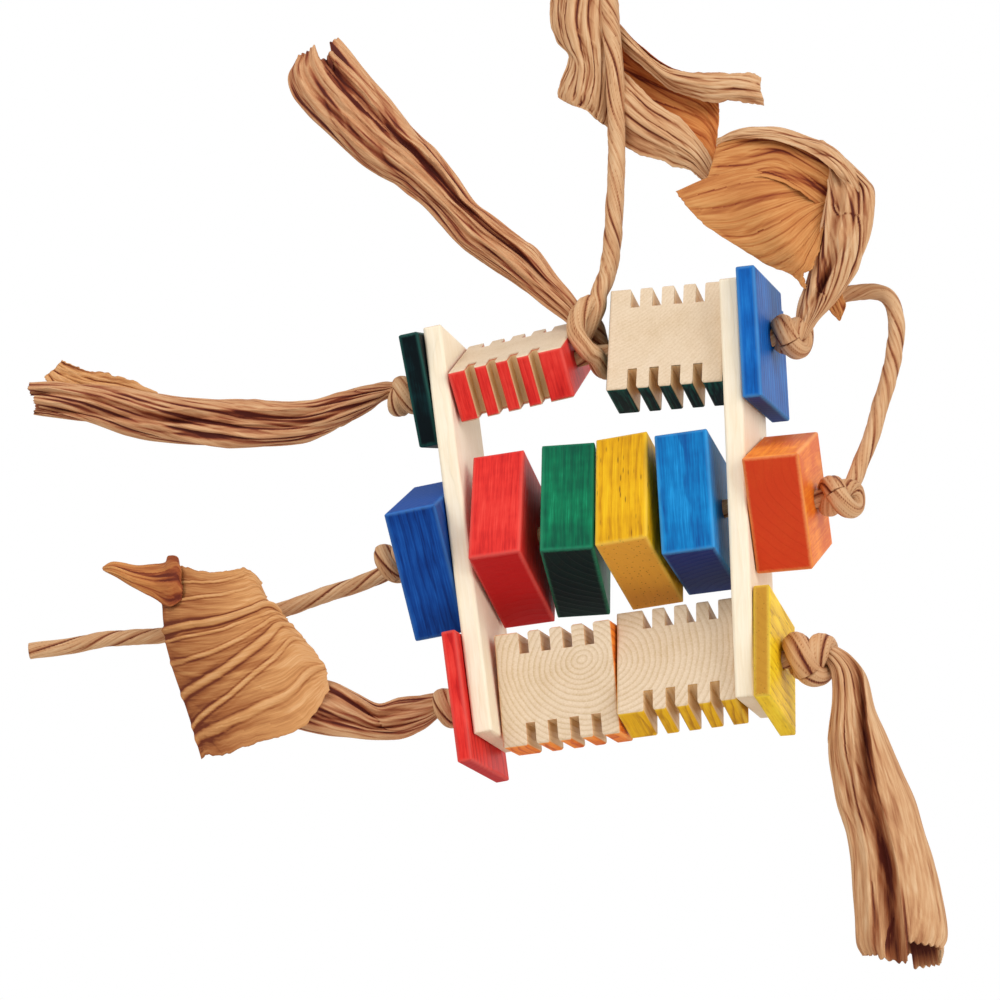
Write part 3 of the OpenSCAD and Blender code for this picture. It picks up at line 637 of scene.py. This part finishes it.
    yield gathered_paper("bottom_right_paper", rows, 5, 1.5, seed=41, twist=0.1, ragged=6, back=0.5, crush=0.3,
                         clefts=[(-0.9, 0.05, 0.1, 0.26, 6.5), (0.6, 0.62, 0.8, 0.16, 2.0)])
    rows = [
        (574, 330, 588, 320, -2), (566, 320, 580, 306, -2), (548, 307, 568, 290, -2), (529, 293, 555, 275, -2),
        (506, 277, 539, 252, -2), (484, 262, 525, 240, -2), (461, 246, 510, 229, -2), (444, 226, 493, 216, -2),
        (427, 207, 478, 205, -2), (411, 195, 466, 189, -2), (397, 185, 456, 175, -2), (379, 176, 446, 161, -2),
        (362, 165, 436, 149, -2), (345, 150, 424, 139, -2), (326, 132, 408, 122, -2), (308, 115, 388, 98, -2),
        (295, 98, 368, 76, -2), (290, 78, 352, 58, -2), (296, 64, 338, 44, -2),
    ]
    yield gathered_paper("tie_paper", rows, 7, 2.8, seed=45, twist=0.06, ragged=4.5, back=0.5,
                         clefts=[(-0.1, -0.45, -0.35, 0.2, 3.6), (0.5, 0.45, 0.4, 0.15, 2.0),
                                 (0.1, 0.0, 0.2, 0.12, 1.6)])
    front = [
        [(562, -46, 4), (572, -46, 0), (590, -46, -2), (606, -46, 0), (614, -46, 4)],
        [(553, -12, 4), (566, -12, -1), (586, -12, -3), (604, -12, 0), (616, -12, 4)],
        [(550, 18, 4), (564, 18, -1), (584, 18, -3), (604, 20, 0), (620, 24, 5)],
        [(557, 40, 5), (570, 44, 0), (588, 48, -2), (605, 52, 2), (622, 60, 7)],
        [(570, 56, 6), (580, 64, 2), (592, 74, 0), (604, 84, 3), (620, 100, 8)],
        [(560, 84, 7), (574, 92, 3), (588, 100, 1), (602, 110, 4), (614, 122, 8)],
        [(557, 97, 8), (571, 104, 4), (585, 111, 3), (599, 121, 5), (611, 131, 8)],
    ]
    yield paper_sheet("top_paper_front", front, 4.2, 1.6, seed=51, shade=0.04, n=190, m=160, crush=0.8,
                      slope=1.0, ragged=0.6)
    scoop = [
        [(616, 20, 7), (616, 50, 13), (618, 82, 13), (620, 118, 9)],
        [(634, 40, 7), (640, 66, 15), (644, 92, 15), (648, 126, 9)],
        [(662, 62, 7), (666, 82, 15), (672, 104, 15), (680, 140, 8)],
        [(692, 76, 7), (696, 94, 13), (700, 116, 13), (704, 154, 7)],
        [(708, 90, 7), (710, 104, 11), (712, 126, 11), (713, 166, 6)],
        [(719, 104, 7), (719, 116, 9), (718, 136, 8), (713, 176, 6)],
    ]
    yield paper_sheet("top_paper_scoop", scoop, 6.0, 0.8, seed=53, n=160, m=150, shade=(0.7, 0.1, 0.15, -0.1),
                      ragged=0.4)
    lip = [
        [(617, 22, 4), (620, 36, 4), (624, 50, 6)],
        [(638, 46, 3), (642, 56, 3), (648, 70, 6)],
        [(660, 65, 3), (664, 75, 2), (670, 88, 6)],
        [(684, 71, 3), (686, 82, 2), (692, 98, 6)],
        [(710, 73, 3), (710, 86, 2), (712, 102, 5)],
        [(735, 73, 3), (733, 86, 2), (732, 101, 4)],
        [(752, 75, 3), (750, 88, 2), (748, 101, 4)],
        [(762, 79, 3), (762, 91, 3), (763, 104, 4)],
    ]
    yield paper_sheet("top_paper_upper_lip", lip, 3.4, 0.9, seed=55, n=190, m=90, shade=(0.15, 0.15, 0.0, 0.0))
    lip = [
        [(612, 60, 3), (610, 92, 1), (610, 128, 5)],
        [(630, 78, 3), (628, 108, 0), (626, 146, 5)],
        [(650, 98, 3), (648, 124, 0), (648, 157, 5)],
        [(674, 114, 3), (670, 138, 0), (668, 164, 5)],
        [(694, 132, 3), (690, 152, 0), (688, 171, 5)],
        [(708, 154, 3), (703, 166, 1), (700, 178, 5)],
        [(714, 174, 4), (712, 179, 4), (710, 184, 5)],
    ]
    yield paper_sheet("top_paper_lower_lip", lip, 3.8, 1.0, seed=57, n=190, m=120,
                      shade=(0.15, 0.15, 0.0, 0.05), ragged=0.7)


row_cords()
kraft_ends()
for paper, cut in opened_ends():
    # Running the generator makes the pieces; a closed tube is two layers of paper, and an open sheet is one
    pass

# ---------------------------------------------------------------- materials


def linear(code):
    """An sRGB hex colour as linear red, green, blue and alpha."""
    parts = [int(code[i : i + 2], 16) / 255 for i in (1, 3, 5)]
    return [c / 12.92 if c <= 0.04045 else ((c + 0.055) / 1.055) ** 2.4 for c in parts] + [1.0]


def node_adder(owner):
    """Takes every node out of a material or world, and gives the function that adds nodes to it."""
    owner.use_nodes = True
    tree = owner.node_tree
    for n in list(tree.nodes):
        tree.nodes.remove(n)

    def add(kind, inputs=None, stops=(), **settings):
        """Adds a node. inputs maps a socket's name or number to a value or to another socket, and
        stops are a colour ramp's places and sRGB hex colours."""
        made = tree.nodes.new("ShaderNode" + kind)
        for key, value in settings.items():
            setattr(made, key, value)
        for key, value in (inputs or {}).items():
            if isinstance(value, bpy.types.NodeSocket):
                tree.links.new(value, made.inputs[key])
            else:
                made.inputs[key].default_value = value
        if stops:
            bar = made.color_ramp
            while len(bar.elements) < len(stops):
                bar.elements.new(0.5)
            for e, (place, code) in zip(bar.elements, stops):
                e.position = place
                e.color = linear(code)
        return made

    return add


def kraft(name, light, mid, dark, deep):
    """Brown kraft paper, crushed and twisted: painted light, pale, on its ridges and painted
    shade, deep red brown, down its folds, both from the fold attribute, with fine streaks
    along the twist about 0.5 mm apart."""
    mat = bpy.data.materials.new(name)
    add = node_adder(mat)
    uv = add("UVMap", uv_map="paper").outputs[0]
    streak_at = add("Mapping", {0: uv, "Scale": (7.0, 0.35, 1)}).outputs[0]
    streak = add("TexNoise", {"Vector": streak_at, "Scale": 2.0, "Detail": 5.0, "Roughness": 0.65}).outputs[0]
    streak = add("MapRange", {0: streak, 1: 0.3, 2: 0.7, 3: 0.0, 4: 1.0}).outputs[0]
    patch = add("TexNoise", {"Vector": uv, "Scale": 0.5, "Detail": 3.0}).outputs[0]
    fold = add("Attribute", attribute_name="fold").outputs[2]
    mix = add("Math", {0: streak, 1: 0.3, 2: 0.02}, operation="MULTIPLY_ADD").outputs[0]
    mix = add("Math", {0: patch, 1: 0.3, 2: mix}, operation="MULTIPLY_ADD").outputs[0]
    # The fold attribute paints shade down the folds and light on the ridges
    shade = add("Math", {0: fold, 1: 0.85, 2: mix}, operation="MULTIPLY_ADD").outputs[0]
    colour = add("ValToRGB", {0: shade}, [(0.12, light), (0.4, mid), (0.75, dark), (1.0, deep)]).outputs[0]
    bump = add("Bump", {"Strength": 0.55, "Distance": 0.0003, "Height": streak}).outputs[0]
    shader = add("BsdfPrincipled", {"Base Color": colour, "Roughness": 0.72, "Normal": bump, "IOR": 1.45,
                                    "Specular IOR Level": 0.3})
    add("OutputMaterial", {0: shader.outputs[0]})
    return mat


PAPER = kraft("kraft_paper", "#e4c198", "#c9976b", "#955632", "#571f12")
RED_PAPER = kraft("kraft_paper_crushed", "#e0b68a", "#bf855b", "#8c4428", "#521a10")
# Painted light: a brighter, more orange copy of the paper for the fan and flaps, as if lit through
PAINTED_GLOW = kraft("kraft_paper_painted_glow", "#dba163", "#c27c42", "#984a22", "#66230f")
FLAP = kraft("kraft_paper_smoothed", "#e6b582", "#cd925a", "#a05f32", "#6a2c12")
# Painted shade: a darker, more orange copy of the paper for the inside of the scoop
SHADED = kraft("kraft_paper_in_painted_shade", "#e29e58", "#c8763a", "#a04a1c", "#6a2610")


def pine(name, centre, half, stain, turn=0.0, tilt=0.0, skew=0.0, along="z", pith=(30, 12), spacing=3.2,
         sawn=False, seed=0.0, rings_show=0.12, cloud=0.4, flecks=0.0):
    """Pine, planed and sawn. Year rings are cylinders about the pith, spacing mm apart, each
    fading from pale early wood to a narrow dark line of late wood. Sides show them as lines
    along the grain and ends as arcs. stain gives (edge colour, light, mid, dark, end grain);
    the edge colour is partly wear and partly painted highlight, and the end grain colour is
    partly painted shade in some stains. A sawn piece is stained only on its four long sides,
    because it was cut from a dyed stick, and its slot walls are made lighter as painted light."""
    mat = bpy.data.materials.new(name)
    add = node_adder(mat)
    where = add("TexCoord").outputs["Object"]
    place = add("Mapping", {0: where, "Location": [c * MM for c in centre], "Scale": (MM, MM, MM),
                            "Rotation": (-math.radians(turn), math.radians(tilt), 0)},
                vector_type="TEXTURE").outputs[0]
    if skew:
        place = add("Mapping", {0: place, "Rotation": (0, 0, math.radians(skew))}, vector_type="TEXTURE").outputs[0]
    xyz = add("SeparateXYZ", {0: place}).outputs
    order = {"z": (0, 1, 2), "y": (0, 2, 1), "x": (1, 2, 0)}[along]
    log = add("CombineXYZ", {k: xyz[order[k]] for k in range(3)}).outputs[0]
    warp = add("TexNoise", {"Vector": log, "Scale": 0.035, "Detail": 2.0}).outputs[1]
    warp = add("VectorMath", {0: warp, 1: (0.5, 0.5, 0.5)}, operation="SUBTRACT").outputs[0]
    warp = add("VectorMath", {0: warp, 1: (6, 6, 0)}, operation="MULTIPLY").outputs[0]
    log_w = add("VectorMath", {0: log, 1: warp}, operation="ADD").outputs[0]
    off = add("VectorMath", {0: log_w, 1: (pith[0], pith[1], seed)}, operation="SUBTRACT").outputs[0]
    flat = add("VectorMath", {0: off, 1: (1, 1, 0.02)}, operation="MULTIPLY").outputs[0]
    radius = add("VectorMath", {0: flat}, operation="LENGTH").outputs[1]
    rings = add("Math", {0: radius, 1: 1 / spacing}, operation="MULTIPLY").outputs[0]
    ring = add("Math", {0: rings}, operation="FRACT").outputs[0]
    late = add("MapRange", {0: ring, 1: 0.35, 2: 0.93, 3: 0.0, 4: 1.0}, interpolation_type="SMOOTHSTEP").outputs[0]
    fade = add("MapRange", {0: ring, 1: 0.93, 2: 1.0, 3: 1.0, 4: 0.0}).outputs[0]
    late = add("Math", {0: late, 1: fade}, operation="MULTIPLY").outputs[0]
    fibre_at = add("VectorMath", {0: log, 1: (1.6, 1.6, 0.07)}, operation="MULTIPLY").outputs[0]
    fibre = add("TexNoise", {"Vector": fibre_at, "Scale": 1.0, "Detail": 4.0, "Roughness": 0.65}).outputs[0]
    blotch = add("TexNoise", {"Vector": log, "Scale": 0.07, "Detail": 3.0, "Roughness": 0.6}).outputs[0]
    # How far a point lies inside each pair of faces, and so which face or edge it is on
    reach = add("VectorMath", {0: place}, operation="ABSOLUTE").outputs[0]
    depth = add("VectorMath", {0: half, 1: reach}, operation="SUBTRACT").outputs[0]
    dx, dy, dz = add("SeparateXYZ", {0: depth}).outputs
    low = add("Math", {0: dx, 1: dy}, operation="MINIMUM").outputs[0]
    high = add("Math", {0: dx, 1: dy}, operation="MAXIMUM").outputs[0]
    mid = add("Math", {0: high, 1: dz}, operation="MINIMUM").outputs[0]
    mid = add("Math", {0: low, 1: mid}, operation="MAXIMUM").outputs[0]
    least = add("Math", {0: low, 1: dz}, operation="MINIMUM").outputs[0]
    rough_edge = add("Math", {0: fibre, 1: -1.3, 2: mid}, operation="MULTIPLY_ADD").outputs[0]
    wear_and_highlight = add("MapRange", {0: rough_edge, 1: -0.6, 2: 1.0, 3: 1.0, 4: 0.0},
               interpolation_type="SMOOTHSTEP").outputs[0]
    ends = {"z": dz, "y": dy, "x": dx}[along]
    end = add("MapRange", {0: ends, 1: 0.25, 2: 0.7, 3: 1.0, 4: 0.0}).outputs[0]
    # Figure of the wood: late wood and streaks together
    figure = add("Math", {0: fibre, 1: 0.6, 2: -0.1}, operation="MULTIPLY_ADD").outputs[0]
    figure = add("Math", {0: late, 1: rings_show, 2: figure}, operation="MULTIPLY_ADD").outputs[0]
    figure = add("Math", {0: blotch, 1: cloud, 2: figure}, operation="MULTIPLY_ADD").outputs[0]
    bare_side = add("ValToRGB", {0: figure},
                    [(0.2, "#f8ecd6"), (0.5, "#f0dfc2"), (0.8, "#e3c9a2"), (1.0, "#cfa878")]).outputs[0]
    bare_end = add("ValToRGB", {0: figure},
                   [(0.2, "#ead6bd"), (0.45, "#ddc5a7"), (0.7, "#cdb08a"), (1.0, "#9c7348")]).outputs[0]
    bare = add("Mix", {0: end, 6: bare_side, 7: bare_end}, data_type="RGBA").outputs[2]
    colour = bare
    gloss = 0.62
    if stain:
        wear_and_highlight_colour, light, middle, dark, end_grain_and_shade = stain
        dyed = add("ValToRGB", {0: figure}, [(0.24, light), (0.42, middle), (0.64, dark)]).outputs[0]
        # End grain takes the stain darker; for some stains this colour is also painted shade, as dark as the shaded
        # bottoms
        dyed_end_and_shade = add("Mix", {0: 0.93, 6: dyed, 7: linear(end_grain_and_shade)}, data_type="RGBA").outputs[2]
        dyed = add("Mix", {0: end, 6: dyed, 7: dyed_end_and_shade}, data_type="RGBA").outputs[2]
        if flecks:
            # Short dark resin ducts, cut open along the grain
            duct_at = add("VectorMath", {0: log, 1: (0.9, 0.9, 0.17)}, operation="MULTIPLY").outputs[0]
            duct = add("TexVoronoi", {"Vector": duct_at, "Scale": 0.75, "Randomness": 1.0}).outputs[0]
            duct = add("MapRange", {0: duct, 1: 0.1, 2: 0.22, 3: flecks, 4: 0.0}).outputs[0]
            dyed = add("Mix", {0: duct, 6: dyed, 7: linear("#7d5210")}, data_type="RGBA").outputs[2]
        # Edges go lighter: partly wear, partly painted highlight
        some = add("Math", {0: wear_and_highlight, 1: 0.4}, operation="MULTIPLY").outputs[0]
        dyed = add("Mix", {0: some, 6: dyed, 7: linear(wear_and_highlight_colour)}, data_type="RGBA").outputs[2]
        colour = dyed
        gloss = 0.55
        if sawn:
            face = add("MapRange", {0: dy, 1: 0.35, 2: 0.6, 3: 1.0, 4: 0.0}).outputs[0]
            inside = add("MapRange", {0: least, 1: 0.5, 2: 0.9, 3: 0.0, 4: 1.0}).outputs[0]
            # The sawn slot walls: a saw-toasted tan, lighter than the faces as painted light in the slots
            toasted_and_lit_wall = add("ValToRGB", {0: figure},
                         [(0.2, "#f2d6ac"), (0.5, "#e4c08e"), (0.8, "#cc9e6a"), (1.0, "#a67a48")]).outputs[0]
            cut = add("Mix", {0: face, 6: toasted_and_lit_wall, 7: bare_end}, data_type="RGBA").outputs[2]
            open_wood = add("Math", {0: face, 1: inside}, operation="MAXIMUM").outputs[0]
            colour = add("Mix", {0: open_wood, 6: dyed, 7: cut}, data_type="RGBA").outputs[2]
    height = add("Math", {0: fibre, 1: 0.6, 2: late}, operation="MULTIPLY_ADD").outputs[0]
    bump = add("Bump", {"Strength": 0.25, "Distance": 0.0003, "Height": height}).outputs[0]
    shader = add("BsdfPrincipled", {"Base Color": colour, "Roughness": gloss, "Normal": bump, "IOR": 1.5,
                                    "Specular IOR Level": 0.1})
    add("OutputMaterial", {0: shader.outputs[0]})
    return mat


# Each stain: edge colour, light, mid, dark, end grain. The edge colour is partly wear, partly painted highlight; the
# end grain colours of GREEN and BLUE are partly painted shade
RED = ("#ee756a", "#ec473c", "#dc2f29", "#aa0f16", "#b8181c")
GREEN = ("#3fa37c", "#189668", "#04724c", "#02503a", "#020816")
DARK_GREEN = ("#2f7268", "#1a6256", "#06282c", "#010d12", "#05131a")
YELLOW = ("#f3d560", "#ecbc18", "#dfa60c", "#b57a08", "#dd9c3a")
PLATE_YELLOW = ("#fae35c", "#fbdc34", "#f0c41c", "#c08c12", "#b8822c")
BLUE = ("#62aee6", "#1c92d6", "#0474b8", "#034a90", "#10125e")
PLATE_BLUE = ("#6ab4ea", "#1c78c8", "#0a5cae", "#04367c", "#1a2a72")
NAVY = ("#5592d4", "#1a58ac", "#0c408e", "#041f5e", "#164c9e")
ORANGE = ("#ffc274", "#fbae42", "#f48e2c", "#de661c", "#c4361a")
AMBER = ("#fbc27a", "#f59a3c", "#ee7d22", "#c9581a", "#e06a20")

# Sizes of the wooden pieces, in mm
BOARD, COMB_LENGTH, COMB_HEIGHT = 19.0, 42.4, 40.5
BLOCK_SIDE, LARGE, SMALL = 44.6, 47.0, 41.0


def halves(x, y, z):
    """Half of each side of a box."""
    return (x / 2, y / 2, z / 2)


MID_X = (-51.217, -28.342, -5.039, 15.938)
MID_Z = -244.723
COMB = halves(COMB_LENGTH, BOARD, COMB_HEIGHT)
BLOCK = halves(BOARD, BLOCK_SIDE, BLOCK_SIDE)
# The top row climbs to the tie at this angle on each side, in degrees
CLIMB = 4.2
WOOD = {
    "left_bar": dict(
        centre=(-66.54, 0, -241.92), half=(3.5, 19, 75), stain=None, tilt=-2.99, pith=(22, 40), spacing=1.6,
        rings_show=0.07, cloud=0.25),
    "right_bar": dict(
        centre=(34.54, 0, -241.92), half=(3.5, 19, 75), stain=None, tilt=2.99, pith=(-30, 34), spacing=1.9, seed=9,
        rings_show=0.07, cloud=0.25),
    "green_plate": dict(
        centre=(-77.1, 0, -185.4), half=halves(7.5, SMALL, SMALL), stain=DARK_GREEN, turn=-14, tilt=-2.99,
        pith=(12, 30), cloud=0.9),
    "blue_plate": dict(
        centre=(44.75, 0.14, -187.38), half=halves(7, LARGE, LARGE), stain=PLATE_BLUE, turn=-4, tilt=2.99,
        pith=(-16, 40), seed=3),
    "red_plate": dict(
        centre=(-69.95, 0.04, -303.15), half=halves(5.5, LARGE, LARGE), stain=RED, turn=-1, tilt=-2.99,
        pith=(20, 10), seed=5),
    "yellow_plate": dict(
        centre=(38.31, 0, -301.17), half=halves(6, SMALL, SMALL), stain=PLATE_YELLOW, flecks=0.5, turn=9, tilt=2.99,
        pith=(24, 26), along="y"),
    "blue_end_block": dict(
        centre=(-79.62, 0.88, -247.4), half=halves(BOARD, LARGE, LARGE), stain=NAVY, turn=-26, tilt=-2.99,
        pith=(14, -20), seed=7),
    "orange_end_block": dict(
        centre=(48.21, 0, -245.63), half=halves(20, SMALL, SMALL), stain=ORANGE, turn=-25, tilt=2.99, along="y",
        pith=(26, 18), rings_show=0.05, cloud=0.7),
    "red_block": dict(
        centre=(MID_X[0], 0, MID_Z), half=BLOCK, stain=RED, turn=22, pith=(4, 34), seed=11, rings_show=0.05),
    "green_block": dict(
        centre=(MID_X[1], 0, MID_Z), half=BLOCK, stain=GREEN, turn=19, skew=8, pith=(20, -26), seed=13,
        rings_show=0.05, cloud=0.6),
    "yellow_block": dict(
        centre=(MID_X[2], 0, MID_Z), half=BLOCK, stain=YELLOW, turn=19, skew=-2, pith=(-40, 8), seed=15, spacing=2.8,
        flecks=0.8),
    "blue_block": dict(
        centre=(MID_X[3], 0, MID_Z), half=BLOCK, stain=BLUE, turn=6, skew=2, pith=(16, 30), seed=17),
    "red_comb": dict(
        centre=(-44.12, 0, -183.21), half=COMB, stain=RED, turn=60, tilt=-CLIMB, along="y", pith=(4, 30), sawn=True,
        spacing=1.2, rings_show=0.04),
    "green_comb": dict(
        centre=(12.12, 0, -183.21), half=COMB, stain=DARK_GREEN, turn=12, tilt=CLIMB, along="y", pith=(-34, 40),
        sawn=True, spacing=1.25, rings_show=0.08),
    "orange_comb": dict(
        centre=(-37.5, 0, -300.63), half=COMB, stain=AMBER, turn=-2, along="y", pith=(9.9, 7.2), sawn=True,
        spacing=1.9, rings_show=0.22),
    "yellow_comb": dict(
        centre=(5.5, 0.44, -299.19), half=COMB, stain=YELLOW, turn=17, along="y", pith=(-22.5, 1), sawn=True,
        spacing=2.1, rings_show=0.2),
}
for node_name, look in WOOD.items():
    obj = frame["nodes"][node_name]
    finish = pine("pine_" + node_name, **look)
    for place in obj.material_slots:
        place.material = finish

PAPERS = {
    "top_right_fan": PAINTED_GLOW, "top_paper_scoop": SHADED, "bottom_left_curl": PAINTED_GLOW, "bottom_left_flap": FLAP,
    "top_left_lobe": FLAP, "top_right_small_flap": PAINTED_GLOW, "top_left_paper": RED_PAPER, "tie_paper": RED_PAPER,
    "bottom_left_bundle": RED_PAPER, "top_right_fan_inside": PAINTED_GLOW,
}
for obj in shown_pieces():
    if "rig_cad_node" not in obj:
        obj.data.materials.append(PAPERS.get(obj.name, PAPER))

# ---------------------------------------------------------------- floor, light and backdrop


def studio():
    """A pale floor well below the toy, a pale backdrop, a big soft key above and to the left
    of the viewer, a weak fill from the right and another from behind."""
    world = bpy.data.worlds.new("studio")
    bpy.context.scene.world = world
    add = node_adder(world)
    looked_at = add("LightPath").outputs["Is Camera Ray"]
    soft = add("Background", {0: (1, 0.99, 0.975, 1), 1: 0.52}).outputs[0]
    white = add("Background", {0: (1, 1, 1, 1), 1: 1.0}).outputs[0]
    add("OutputWorld", {0: add("MixShader", {0: looked_at, 1: soft, 2: white}).outputs[0]})
    floor_z = -0.95
    bpy.ops.mesh.primitive_plane_add(size=12, location=(0, 0, floor_z))
    floor = bpy.context.object
    floor.name = "floor"
    mat = bpy.data.materials.new("floor_paper")
    add = node_adder(mat)
    looked_at = add("LightPath").outputs["Is Camera Ray"]
    glow = add("Math", {0: looked_at, 1: 0.3}, operation="MULTIPLY").outputs[0]
    shader = add("BsdfPrincipled", {"Base Color": linear("#f4f2ee"), "Roughness": 0.9, "Emission Color": (1, 1, 1, 1),
                                    "Emission Strength": glow})
    add("OutputMaterial", {0: shader.outputs[0]})
    floor.data.materials.append(mat)
    for name, place, power, size in (("key", (-0.5, -1.1, 0.75), 11.4, 0.9),
                                     ("fill", (1.25, -0.75, -0.05), 11.5, 1.2),
                                     ("back", (0.4, 1.3, 0.55), 9, 1.4)):
        light = bpy.data.lights.new(name, "AREA")
        light.energy = power
        light.size = size
        lamp = bpy.data.objects.new(name, light)
        bpy.context.scene.collection.objects.link(lamp)
        lamp.location = place
        lamp.rotation_mode = "QUATERNION"
        lamp.rotation_quaternion = (Vector((-0.016, 0, -0.24)) - Vector(place)).to_track_quat("-Z", "Y")


studio()
bpy.context.scene.view_settings.view_transform = "Standard"
